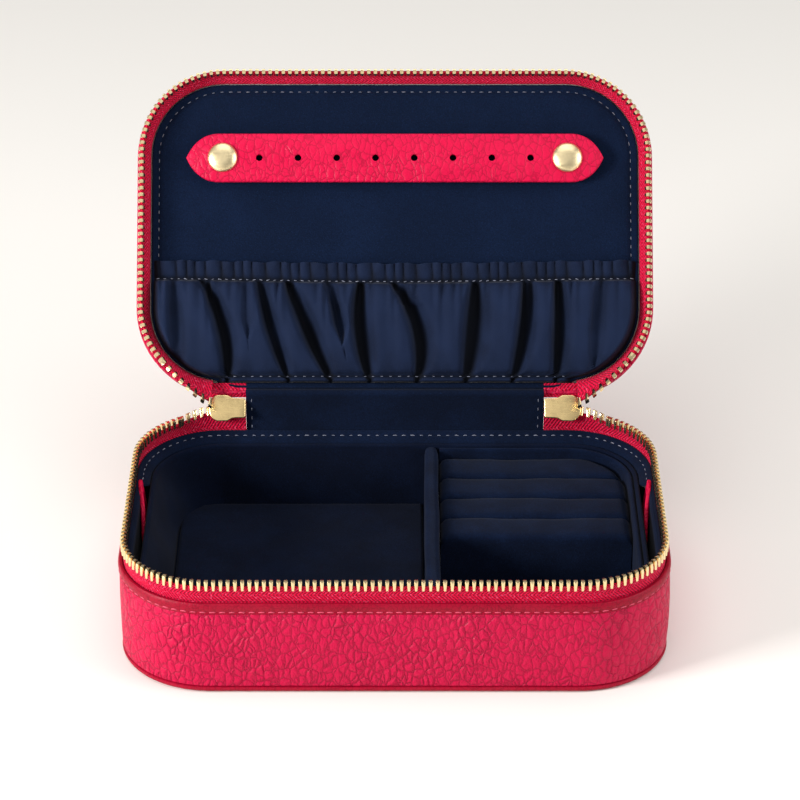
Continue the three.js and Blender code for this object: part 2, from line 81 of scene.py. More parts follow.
def shade(colour: Colour, share: float, lift: float = 0.0) -> Colour:
    """A colour made darker or lighter by a share, and lifted by a little white."""
    red, green, blue = (min(1, c * share + lift) for c in colour[:3])
    return (red, green, blue, 1.0)


# ---------------------------------------------------------------------------------------------
# Finishes
# ---------------------------------------------------------------------------------------------


class Space(Enum):
    """Where a finish takes its pattern from."""

    OBJECT = "Object"
    CLOTH = "UV"


class Dye:
    """A shader tree under construction: short calls for the nodes that every finish needs."""

    def __init__(self, name: str, space: Space) -> None:
        """Starts a material with one shader and a pattern vector.

        Args:
            name: The material's name.
            space: Where its pattern comes from.
        """
        self.material = bpy.data.materials.new(name)
        self.material.use_nodes = True
        self.tree = self.material.node_tree
        self.tree.nodes.clear()
        self.shader = self.tree.nodes.new("ShaderNodeBsdfPrincipled")
        output = self.tree.nodes.new("ShaderNodeOutputMaterial")
        self.tree.links.new(self.shader.outputs[0], output.inputs[0])
        self.place = self.tree.nodes.new("ShaderNodeTexCoord").outputs[space.value]

    def node(self, kind: str, inputs: dict, **settings: object) -> bpy.types.Node:
        """Adds a node.

        Args:
            kind: The node's type name.
            inputs: Socket name or number to a value or an output to link.
            settings: Properties of the node.

        Returns:
            The node.
        """
        made = self.tree.nodes.new(kind)
        for key, value in settings.items():
            setattr(made, key, value)
        for key, value in inputs.items():
            if isinstance(value, bpy.types.NodeSocket):
                self.tree.links.new(value, made.inputs[key])
            else:
                made.inputs[key].default_value = value
        return made

    def turned(
        self, angle: tuple[float, float, float], scale: tuple[float, float, float],
    ) -> bpy.types.NodeSocket:
        """The pattern vector turned, in degrees, and scaled."""
        spin = tuple(math.radians(a) for a in angle)
        made = self.node("ShaderNodeMapping", {"Vector": self.place, "Rotation": spin, "Scale": scale})
        return made.outputs[0]

    def noise(
        self, size_mm: float, detail: float = 3, vector: Optional[bpy.types.NodeSocket] = None,
    ) -> bpy.types.NodeSocket:
        """Soft noise whose lumps are about size_mm across."""
        made = self.node(
            "ShaderNodeTexNoise",
            {"Vector": vector or self.place, "Scale": 1000 / size_mm, "Detail": detail, "Roughness": 0.55},
        )
        return made.outputs[0]

    def ramp(
        self, value: bpy.types.NodeSocket, low: float, high: float, out_low: float = 0, out_high: float = 1,
    ) -> bpy.types.NodeSocket:
        """Maps a value from one range to another, clamped and eased."""
        made = self.node(
            "ShaderNodeMapRange",
            {0: value, 1: low, 2: high, 3: out_low, 4: out_high},
            interpolation_type="SMOOTHSTEP",
        )
        return made.outputs[0]

    def maths(self, operation: str, first: object, second: object = 0.0) -> bpy.types.NodeSocket:
        """One sum of two values or sockets."""
        return self.node("ShaderNodeMath", {0: first, 1: second}, operation=operation).outputs[0]

    def blend(self, share: object, first: object, second: object) -> bpy.types.NodeSocket:
        """Mixes two colours by a share."""
        made = self.node("ShaderNodeMix", {0: share, 6: first, 7: second}, data_type="RGBA")
        return made.outputs[2]

    def bump(
        self, height: bpy.types.NodeSocket, depth_mm: float, strength: float = 1.0,
        under: Optional[bpy.types.NodeSocket] = None,
    ) -> bpy.types.NodeSocket:
        """A bump of a given depth, laid on an earlier one if there is one."""
        inputs: dict = {"Height": height, "Distance": depth_mm * MM, "Strength": strength}
        if under is not None:
            inputs["Normal"] = under
        return self.node("ShaderNodeBump", inputs).outputs[0]

    def finish(
        self, colour: object, normal: Optional[bpy.types.NodeSocket] = None, roughness: object = 0.5,
        **fixed: object
    ) -> bpy.types.Material:
        """Sets the shader's sockets.

        Args:
            colour: Base colour, a value or a socket.
            normal: The bumped normal.
            roughness: A value or a socket.
            fixed: Other sockets by name, with spaces written as underscores.

        Returns:
            The finished material.
        """
        values: dict = {"Base Color": colour, "Roughness": roughness}
        if normal is not None:
            values["Normal"] = normal
        values.update({key.replace("_", " "): value for key, value in fixed.items()})
        for key, value in values.items():
            if isinstance(value, bpy.types.NodeSocket):
                self.tree.links.new(value, self.shader.inputs[key])
            else:
                self.shader.inputs[key].default_value = value
        return self.material


@dataclass(frozen=True)
class PebbledLeather:
    """Soft raspberry leather with creases round long pebbles."""

    name: str
    colour: Colour
    pebble: float = 2.6
    depth: float = 0.16
    slant: float = 34
    stretch: float = 1.7

    def material(self) -> bpy.types.Material:
        """Makes the leather."""
        dye = Dye(self.name, Space.OBJECT)
        drift = dye.node("ShaderNodeTexNoise", {"Vector": dye.place, "Scale": 260.0, "Detail": 3.0})
        pushed = dye.node(
            "ShaderNodeMix",
            {0: 0.0035, 4: dye.turned((0, self.slant, 0), (self.stretch, 1.0, 1.0)), 5: drift.outputs[1]},
            data_type="VECTOR",
        ).outputs[1]
        cells = dye.node(
            "ShaderNodeTexVoronoi",
            {"Vector": pushed, "Scale": 1000 / self.pebble, "Randomness": 0.95},
            feature="DISTANCE_TO_EDGE",
        ).outputs["Distance"]
        small = dye.node(
            "ShaderNodeTexVoronoi",
            {"Vector": pushed, "Scale": 2300 / self.pebble, "Randomness": 1.0},
            feature="DISTANCE_TO_EDGE",
        ).outputs["Distance"]
        patch = dye.ramp(dye.noise(14), 0.4, 0.62)
        crease = dye.maths("POWER", dye.ramp(cells, 0.0, 0.42), 0.5)
        fine = dye.ramp(small, 0.0, 0.3)
        height = dye.maths("MULTIPLY_ADD", fine, 0.12)
        height.node.inputs[2].default_value = 0.0
        total = dye.maths("ADD", dye.maths("MULTIPLY", crease, dye.ramp(patch, 0, 1, 0.45, 1.0)), height)
        normal = dye.bump(total, self.depth, 0.9)
        normal = dye.bump(dye.noise(0.35, 2), 0.02, 0.5, normal)
        # Painted shade: the creases between the pebbles are darkened in the colour, on top of the bump that
        # sinks them.
        deep = shade(self.colour, 0.66)
        light = shade(self.colour, 1.12, 0.006)
        colour = dye.blend(dye.ramp(cells, 0.0, 0.1), deep, self.colour)
        colour = dye.blend(dye.ramp(dye.noise(26, 2), 0.45, 0.75, 0, 0.4), colour, light)
        roughness = dye.ramp(dye.noise(5), 0.3, 0.7, 0.4, 0.54)
        return dye.finish(colour, normal, roughness, Specular_IOR_Level=0.16)


@dataclass(frozen=True)
class WovenTape:
    """Zip tape: a fine herringbone in dyed polyester."""

    name: str
    colour: Colour
    rib: float = 1.15

    def material(self) -> bpy.types.Material:
        """Makes the tape's cloth, on the tape's own length and width."""
        dye = Dye(self.name, Space.CLOTH)
        split = dye.node("ShaderNodeSeparateXYZ", {0: dye.place})
        run = dye.maths("MULTIPLY", split.outputs[0], 1000 / self.rib)
        across = dye.maths("MULTIPLY", split.outputs[1], 1000 / self.rib)
        zigzag = dye.maths("PINGPONG", across, 2.2)
        twill = dye.maths("SINE", dye.maths("MULTIPLY", dye.maths("ADD", run, zigzag), math.tau))
        weft = dye.maths("SINE", dye.maths("MULTIPLY", across, math.tau * 1.6))
        height = dye.maths("ADD", twill, dye.maths("MULTIPLY", weft, 0.4))
        normal = dye.bump(dye.ramp(height, -1.2, 1.2), 0.22, 0.9)
        # Painted shade: the weave's low threads are darkened by their height, standing for shade in the
        # grooves of the twill.
        dark = shade(self.colour, 0.4)
        colour = dye.blend(dye.ramp(height, -1.0, 0.9), dark, self.colour)
        speck = dye.node(
            "ShaderNodeTexNoise", {"Vector": dye.place, "Scale": 1300.0, "Detail": 1.0},
        ).outputs[0]
        colour = dye.blend(dye.ramp(speck, 0.54, 0.74, 0, 0.5), colour, srgb(246, 96, 136))
        return dye.finish(
            colour, normal, 0.8, Sheen_Weight=0.04, Sheen_Roughness=0.4, Specular_IOR_Level=0.15,
        )


@dataclass(frozen=True)
class BrushedSuede:
    """Navy microsuede with a short nap that mottles as it is stroked."""

    name: str
    colour: Colour
    pale: Colour
    mottle: float = 16
    crease_depth: float = 0.0

    def material(self) -> bpy.types.Material:
        """Makes the suede."""
        dye = Dye(self.name, Space.OBJECT)
        nap = dye.noise(0.42, 3)
        stroke = dye.noise(self.mottle, 4)
        colour = dye.blend(dye.ramp(stroke, 0.38, 0.68, 0, 0.75), self.colour, self.pale)
        dark = shade(self.colour, 0.5)
        colour = dye.blend(dye.ramp(nap, 0.35, 0.62, 0.55, 0), colour, dark)
        pale = shade(self.pale, 2.3)
        colour = dye.blend(dye.ramp(dye.noise(0.3, 1), 0.6, 0.78, 0, 0.5), colour, pale)
        normal = dye.bump(nap, 0.09, 0.6)
        if self.crease_depth > 0:
            fold = dye.noise(9, 2, dye.turned((20, 0, 15), (1.0, 0.35, 0.5)))
            normal = dye.bump(fold, self.crease_depth, 0.8, normal)
        return dye.finish(
            colour, normal, 0.95, Sheen_Weight=0.03, Sheen_Roughness=0.5, Specular_IOR_Level=0.06,
        )


@dataclass(frozen=True)
class GatheredCloth:
    """The pocket's thin navy cloth with a soft sheen, painted shade darkening the hollows of its folds and a
    painted highlight on their tops.
    """

    name: str
    colour: Colour

    def material(self) -> bpy.types.Material:
        """Makes the cloth, on the pocket's own width and height."""
        dye = Dye(self.name, Space.CLOTH)
        split = dye.node("ShaderNodeSeparateXYZ", {0: dye.place})
        warp = dye.maths("SINE", dye.maths("MULTIPLY", split.outputs[0], math.tau * 2600))
        weft = dye.maths("SINE", dye.maths("MULTIPLY", split.outputs[1], math.tau * 2600))
        weave = dye.maths("ADD", warp, weft)
        speck = dye.node(
            "ShaderNodeTexNoise", {"Vector": dye.place, "Scale": 2400.0, "Detail": 2.0},
        ).outputs[0]
        cloud = dye.node("ShaderNodeTexNoise", {"Vector": dye.place, "Scale": 90.0, "Detail": 3.0}).outputs[0]
        pale = shade(self.colour, 1.9, 0.002)
        colour = dye.blend(dye.ramp(cloud, 0.35, 0.7, 0, 0.6), self.colour, pale)
        colour = dye.blend(dye.ramp(speck, 0.5, 0.72, 0, 0.6), colour, pale)
        lift = dye.node("ShaderNodeAttribute", {}, attribute_name="lift").outputs["Fac"]
        # Painted shade: where the cloth lies low against the lining, its colour runs to near black as shade
        # in the hollows of the folds.
        hollow = shade(self.colour, 0.12)
        colour = dye.blend(dye.ramp(lift, 0.12, 0.62, 0.92, 0), colour, hollow)
        # Painted highlight: the highest fold tops are lightened towards the pale tone.
        colour = dye.blend(dye.ramp(lift, 0.8, 1.1, 0, 0.5), colour, pale)
        normal = dye.bump(dye.ramp(weave, -2, 2), 0.03, 0.5)
        normal = dye.bump(cloud, 0.25, 0.4, normal)
        return dye.finish(
            colour, normal, 0.8, Sheen_Weight=0.05, Sheen_Roughness=0.4, Specular_IOR_Level=0.12,
        )


@dataclass(frozen=True)
class SatinBrass:
    """Pale gold metal, satin polished, with fine brush marks and small stains."""

    name: str
    colour: Colour
    roughness: float = 0.28
    brushed: float = 0.004

    def material(self) -> bpy.types.Material:
        """Makes the metal."""
        dye = Dye(self.name, Space.OBJECT)
        marks = dye.noise(0.5, 3, dye.turned((0, 0, 30), (0.15, 1.0, 1.0)))
        stain = dye.noise(3.5, 2)
        worn = shade(self.colour, 0.84)
        colour = dye.blend(dye.ramp(stain, 0.45, 0.75), self.colour, worn)
        roughness = dye.ramp(marks, 0.3, 0.7, self.roughness - 0.06, self.roughness + 0.08)
        return dye.finish(colour, dye.bump(marks, self.brushed, 0.4), roughness, Metallic=1.0)


@dataclass(frozen=True)
class SewingThread:
    """Twisted thread for the visible stitches."""

    name: str
    colour: Colour

    def material(self) -> bpy.types.Material:
        """Makes the thread."""
        dye = Dye(self.name, Space.OBJECT)
        ply = dye.noise(0.25, 2, dye.turned((0, 0, 45), (1.0, 0.3, 1.0)))
        dark = shade(self.colour, 0.6)
        colour = dye.blend(dye.ramp(ply, 0.35, 0.6), dark, self.colour)
        return dye.finish(colour, dye.bump(ply, 0.05, 0.7), 0.7, Sheen_Weight=0.2)


@dataclass(frozen=True)
class GreyBoard:
    """Pressed paper board with short fibres."""

    name: str
    colour: Colour

    def material(self) -> bpy.types.Material:
        """Makes the board."""
        dye = Dye(self.name, Space.OBJECT)
        fibre = dye.noise(0.8, 4, dye.turned((0, 0, 20), (0.25, 1.0, 1.0)))
        dark = shade(self.colour, 0.7)
        colour = dye.blend(dye.ramp(fibre, 0.35, 0.65), dark, self.colour)
        return dye.finish(colour, dye.bump(fibre, 0.05, 0.5), 0.9)


@dataclass(frozen=True)
class OpenFoam:
    """Pale upholstery foam with small open cells."""

    name: str
    colour: Colour

    def material(self) -> bpy.types.Material:
        """Makes the foam."""
        dye = Dye(self.name, Space.OBJECT)
        cells = dye.node(
            "ShaderNodeTexVoronoi", {"Vector": dye.place, "Scale": 1400.0}, feature="F1",
        ).outputs[0]
        dark = shade(self.colour, 0.6)
        colour = dye.blend(dye.ramp(cells, 0.1, 0.5), dark, self.colour)
        return dye.finish(colour, dye.bump(cells, 0.12, 0.6), 0.95)


class Finishes:
    """Every finish of the case, made once."""

    def __init__(self) -> None:
        """Makes the materials."""
        rose = srgb(190, 9, 63)
        navy, navy_pale = srgb(8, 18, 38), srgb(12, 25, 50)
        self.leather = PebbledLeather("raspberry leather", rose, pebble=3.8, depth=0.75).material()
        # Painted shade: the hem's leather keeps a finer, smoother grain, and its colour is darker than the
        # wall's to stand for the shade on the turned, angled hem.
        self.shaded_hem_leather = PebbledLeather("hem leather", srgb(150, 2, 38), pebble=2.2, depth=0.08).material()
        self.strap_leather = PebbledLeather(
            "strap leather", srgb(202, 8, 62), pebble=3.4, depth=0.26, slant=-20,
        ).material()
        self.leather_edge = PebbledLeather(
            "panel leather", srgb(160, 4, 42), pebble=2.2, depth=0.08,
        ).material()
        self.tape = WovenTape("zip tape", srgb(222, 6, 62)).material()
        self.suede = BrushedSuede("navy suede", navy, navy_pale).material()
        self.lid_suede = BrushedSuede("lid suede", srgb(9, 21, 43), srgb(13, 27, 53), mottle=30).material()
        self.tray_suede = BrushedSuede(
            "tray suede", srgb(5, 13, 32), srgb(9, 20, 43), crease_depth=0.4,
        ).material()
        self.roll_suede = BrushedSuede("roll suede", srgb(7, 17, 38), srgb(12, 25, 50), mottle=9).material()
        self.pocket = GatheredCloth("pocket cloth", srgb(9, 20, 42)).material()
        self.brass = SatinBrass("satin brass", srgb(236, 208, 150)).material()
        self.teeth = SatinBrass("teeth brass", srgb(246, 222, 172), roughness=0.2).material()
        self.cap_brass = SatinBrass("cap brass", srgb(244, 224, 178), roughness=0.36, brushed=0.03).material()
        self.white_thread = SewingThread("white thread", srgb(126, 130, 148)).material()
        self.pink_thread = SewingThread("raspberry thread", srgb(216, 64, 98)).material()
        self.board = GreyBoard("grey board", srgb(154, 149, 140)).material()
        self.foam = OpenFoam("padding foam", srgb(216, 212, 204)).material()


# ---------------------------------------------------------------------------------------------
# Shape tools
# ---------------------------------------------------------------------------------------------


@dataclass(frozen=True)
class Plan:
    """The case's rounded plan, in millimetres, and stations round it from the back's middle."""

    width: float = 172
    depth: float = 109
    radius: float = 29

    @property
    def lengths(self) -> list[float]:
        """Lengths of the straights and corners in turn, clockwise from the back's middle."""
        x, y = self.width / 2 - self.radius, self.depth / 2 - self.radius
        corner = self.radius * math.pi / 2
        return [x, corner, 2 * y, corner, 2 * x, corner, 2 * y, corner, x]

    @property
    def whole(self) -> float:
        """The plan's whole length."""
        return sum(self.lengths)

    def at(self, run: float) -> tuple[np.ndarray, np.ndarray]:
        """The outline's point and its outward direction at a distance round it."""
        x, y, r = self.width / 2 - self.radius, self.depth / 2 - self.radius, self.radius
        left = run % self.whole if run < self.whole else self.whole
        starts = [
            ((0, y + r), 90), ((x, y), 90), ((x + r, y), 0), ((x, -y), 0), ((x, -y - r), -90),
            ((-x, -y), -90), ((-x - r, -y), 180), ((-x, y), 180), ((-x, y + r), 90),
        ]
        for part, length in enumerate(self.lengths):
            if left <= length or part == 8:
                break
            left -= length
        point, bearing = starts[part]
        angle = math.radians(bearing)
        if part % 2:
            angle -= left / r
            out = np.array([math.cos(angle), math.sin(angle)])
            return np.array(point, float) + out * r, out
        out = np.array([math.cos(angle), math.sin(angle)])
        return np.array(point, float) + np.array([out[1], -out[0]]) * left, out

    def stations(
        self, start: float = 0, end: Optional[float] = None, step: float = 2.4,
    ) -> tuple[np.ndarray, np.ndarray, np.ndarray]:
        """Stations between two distances round the plan.

        Args:
            start: First distance.
            end: Last distance, or None for all the way round without repeating the first.
            step: Longest gap between stations.

        Returns:
            Their points, outward directions and distances.
        """
        stop = self.whole if end is None else end
        count = max(2, int(math.ceil((stop - start) / step)) + 1)
        runs = np.linspace(start, stop, count)
        if end is None:
            runs = runs[:-1]
        found = [self.at(run) for run in runs]
        return np.array([p for p, _ in found]), np.array([n for _, n in found]), runs

    def run_at_back(self, x: float) -> float:
        """The distance round to the station at the back whose x is given, on the right."""
        straight = self.width / 2 - self.radius
        if x <= straight:
            return x
        return straight + self.radius * math.asin(min(1, (x - straight) / self.radius))


PLAN = Plan()


@dataclass(frozen=True)
class Hinge:
    """The lid's hinge line and how far the lid stands open."""

    y: float = 54.5
    z: float = 45.4
    open_angle: float = 124.5
    hem: float = 32.2

    def opened(self, points: np.ndarray, share: object = 1.0) -> np.ndarray:
        """Turns points drawn with the case shut to where they are with the lid open.

        Args:
            points: Points in millimetres, with the case shut.
            share: How much of the lid's turn each point takes.

        Returns:
            The turned points.
        """
        angle = -np.radians(self.open_angle) * np.asarray(share, float)
        y, z = points[:, 1] - self.y, points[:, 2] - self.z
        made = points.copy()
        made[:, 1] = self.y + y * np.cos(angle) - z * np.sin(angle)
        made[:, 2] = self.z + y * np.sin(angle) + z * np.cos(angle)
        return made


HINGE = Hinge()


@dataclass(frozen=True)
class Rocker:
    """How a slider leans back as the lid opens."""

    y: float = 55.7
    z: float = 39.15
    angle: float = 34.5

    def leaned(self, points: np.ndarray, share: object = 1.0) -> np.ndarray:
        """Turns points drawn with the case shut to where they are with the lid open."""
        return Hinge(self.y, self.z, self.angle).opened(points, share)


ROCKER = Rocker()


def ease(value: np.ndarray) -> np.ndarray:
    """Smooth step from 0 to 1."""
    t = np.clip(value, 0, 1)
    return t * t * (3 - 2 * t)


def rungs(count: int, rings: int) -> list:
    """The four-cornered faces that join each closed ring of points to the next."""
    return [
        (r * count + i, r * count + (i + 1) % count, (r + 1) * count + (i + 1) % count, (r + 1) * count + i)
        for r in range(rings - 1) for i in range(count)
    ]


def tube(count: int, rings: int) -> list:
    """The faces of a solid made of rings of points, closed at its first and last ring."""
    return [list(range(count)), list(range((rings - 1) * count, rings * count))] + rungs(count, rings)


class Shape:
    """Meshes made from millimetre points, with their objects at the origin."""

    @staticmethod
    def make(
        name: str, points: np.ndarray, faces: Sequence[Sequence[int]], material: bpy.types.Material,
        uv: Optional[np.ndarray] = None, sharp: float = 40, repair: bool = True,
    ) -> bpy.types.Object:
        """Makes a mesh object.

        Args:
            name: The piece's name.
            points: Points in millimetres.
            faces: Corner numbers of each face.
            material: Its finish.
            uv: A place on the cloth for each point, in millimetres.
            sharp: Edges that turn more than this, in degrees, stay sharp.
            repair: Whether to merge doubles and turn the faces outward.

        Returns:
            The object.
        """
        mesh = bpy.data.meshes.new(name)
        mesh.from_pydata((np.asarray(points, float) * MM).tolist(), [], [list(f) for f in faces])
        if uv is not None:
            layer = mesh.uv_layers.new(name="cloth")
            corner = np.zeros(len(mesh.loops), np.int32)
            mesh.loops.foreach_get("vertex_index", corner)
            layer.data.foreach_set("uv", (np.asarray(uv, float)[corner] * MM).ravel())
        if repair:
            work = bmesh.new()
            work.from_mesh(mesh)
            bmesh.ops.remove_doubles(work, verts=work.verts, dist=1e-6)
            bmesh.ops.dissolve_degenerate(work, edges=work.edges, dist=1e-7)
            bmesh.ops.recalc_face_normals(work, faces=work.faces)
            work.to_mesh(mesh)
            work.free()
        mesh.materials.append(material)
        mesh.polygons.foreach_set("use_smooth", [True] * len(mesh.polygons))
        mesh.set_sharp_from_angle(angle=math.radians(sharp))
        made = bpy.data.objects.new(name, mesh)
        bpy.context.scene.collection.objects.link(made)
        return made

    @staticmethod
    def band(
        name: str, material: bpy.types.Material, profile: Callable[[np.ndarray, np.ndarray, float], Profile],
        span: Optional[tuple[float, float]] = None, move: Optional[Callable[[np.ndarray], np.ndarray]] = None,
        step: float = 2.4, sharp: float = 40,
    ) -> bpy.types.Object:
        """Sweeps a closed profile round the plan.

        Args:
            name: The piece's name.
            material: Its finish.
            profile: Gives a station's closed profile as pairs of inset and height.
            span: First and last distance round the plan, or None for the whole way.
            move: A last move of all the points.
            step: Longest gap between stations.
            sharp: Angle past which an edge stays sharp.

        Returns:
            The object.
        """
        closed = span is None
        places, outs, runs = PLAN.stations(*(span or (0, None)), step=step)
        points, uv, faces = [], [], []
        for place, out, run in zip(places, outs, runs):
            rows = np.array(profile(place, out, run), float)
            along = np.concatenate([[0], np.cumsum(np.linalg.norm(np.diff(rows, axis=0), axis=1))])
            for (inset, height), up in zip(rows, along):
                points.append((place[0] - out[0] * inset, place[1] - out[1] * inset, height))
                uv.append((run, up))
            across = len(rows)
        count = len(places)
        for i in range(count if closed else count - 1):
            for j in range(across):
                a, b = i * across + j, i * across + (j + 1) % across
                c = ((i + 1) % count) * across
                faces.append((a, b, c + (j + 1) % across, c + j))
        if not closed:
            faces.append(list(range(across)))
            faces.append([(count - 1) * across + j for j in range(across)])
        spots = np.array(points)
        if move is not None:
            spots = move(spots)
        return Shape.make(name, spots, faces, material, np.array(uv), sharp)

    @staticmethod
    def dish(
        name: str, material: bpy.types.Material, rings: Profile, spine: float,
        height: Optional[Callable[[np.ndarray, np.ndarray], np.ndarray]] = None,
        move: Optional[Callable[[np.ndarray], np.ndarray]] = None, fill_steps: int = 14,
    ) -> bpy.types.Object:
        """A closed panel over the whole plan: rings from its under rim to its top, then a filled middle.

        Args:
            name: The piece's name.
            material: Its finish.
            rings: Pairs of inset and height, the first closing the underside.
            spine: Half the length of the line the middle closes on.
            height: Adds to the height of the middle by its x and y.
            move: A last move of all the points.
            fill_steps: Rings in the middle.

        Returns:
            The object.
        """
        places, outs, _ = PLAN.stations(step=2.4)
        count = len(places)
        rows = [np.column_stack([places - outs * inset, np.full(count, up)]) for inset, up in rings]
        inner = rows[-1]
        for share in np.linspace(0, 1, fill_steps + 1)[1:]:
            row = inner.copy()
            row[:, 0] = inner[:, 0] * (1 - share) + np.clip(inner[:, 0], -spine, spine) * share
            row[:, 1] = inner[:, 1] * (1 - share)
            rows.append(row)
        points = np.vstack(rows)
        if height is not None:
            middle = len(rings) * count
            points[middle:, 2] += height(points[middle:, 0], points[middle:, 1])
        faces = [list(range(count))] + rungs(count, len(rows))
        uv = points[:, :2].copy()
        if move is not None:
            points = move(points)
        return Shape.make(name, points, faces, material, uv)

    @staticmethod
    def cushion(
        name: str, material: bpy.types.Material, outline: np.ndarray, bottom: float, top: float, crown: float,
        rounding: float = 1.2, ripple: float = 0.0,
    ) -> bpy.types.Object:
        """A soft pad over a convex outline, with rounded edges and a crowned top.

        Args:
            name: The piece's name.
            material: Its finish.
            outline: Points round it, anticlockwise.
            bottom: Height of its underside.
            top: Height of its top's edge.
            crown: How far its middle stands above that.
            rounding: Radius of its edges.
            ripple: Height of the soft unevenness of its top.

        Returns:
            The object.
        """
        after, before = np.roll(outline, -1, 0) - outline, outline - np.roll(outline, 1, 0)
        along = after / np.linalg.norm(after, axis=1)[:, None] + before / np.linalg.norm(
            before, axis=1,
        )[:, None]
        along /= np.linalg.norm(along, axis=1)[:, None]
        inward = np.column_stack([-along[:, 1], along[:, 0]])
        count, centre = len(outline), outline.mean(0)
        rows = [np.column_stack([outline + inward * rounding * 0.6, np.full(count, bottom)])]
        rows.append(np.column_stack([outline, np.full(count, bottom + rounding * 0.6)]))
        for angle in np.linspace(0, math.pi / 2, 6):
            inset, up = rounding * (1 - math.cos(angle)), top - rounding * (1 - math.sin(angle))
            rows.append(np.column_stack([outline + inward * inset, np.full(count, up)]))
        rim = rows[-1]
        for share in np.linspace(0, 1, 17)[1:]:
            flat = rim[:, :2] * (1 - share) + centre * share
            lift = crown * (1 - (1 - share) ** 3)
            wave = np.sin(
                flat[:, 0] * 0.21 + 1.3 * np.sin(flat[:, 1] * 0.13)
            ) * np.cos(flat[:, 1] * 0.24 + 0.6)
            rows.append(np.column_stack([flat, rim[:, 2] + lift + ripple * wave * min(1, share * 4)]))
        faces = [list(range(count))] + rungs(count, len(rows))
        points = np.vstack(rows)
        return Shape.make(name, points, faces, material, points[:, :2].copy())

    @staticmethod
    def bar(
        name: str, material: bpy.types.Material, outline: Profile, ends: tuple[float, float],
        place: Callable[[np.ndarray], np.ndarray], rounding: float = 0.3,
    ) -> bpy.types.Object:
        """An extruded outline with rounded edges.

        Args:
            name: The piece's name.
            material: Its finish.
            outline: The closed outline, in two axes.
            ends: Where the extrusion starts and ends on the third axis.
            place: Turns points of outline x, outline y and extrusion into the case's frame.
            rounding: Radius of the edges.

        Returns:
            The object.
        """
        count = len(outline)
        flat = np.array(outline, float)
        points = np.vstack([np.column_stack([flat, np.full(count, end)]) for end in ends])
        made = Shape.make(name, place(points), tube(count, 2), material, sharp=60)
        if rounding > 0:
            Shape.modify(
                made, "BEVEL", width=rounding * MM, segments=3, limit_method="ANGLE",
                angle_limit=math.radians(30),
            )
            made.data.polygons.foreach_set("use_smooth", [True] * len(made.data.polygons))
            made.data.set_sharp_from_angle(angle=math.radians(38))
        return made

    @staticmethod
    def modify(made: bpy.types.Object, kind: str, **settings: object) -> None:
        """Adds a modifier and applies it to the mesh."""
        modifier = made.modifiers.new(kind.lower(), kind)
        for key, value in settings.items():
            setattr(modifier, key, value)
        Shape.settle(made)

    @staticmethod
    def settle(made: bpy.types.Object) -> None:
        """Turns what the modifiers give into the object's own mesh."""
        graph = bpy.context.evaluated_depsgraph_get()
        mesh = bpy.data.meshes.new_from_object(made.evaluated_get(graph))
        old = made.data
        made.modifiers.clear()
        made.data = mesh
        mesh.name = made.name
        bpy.data.meshes.remove(old)


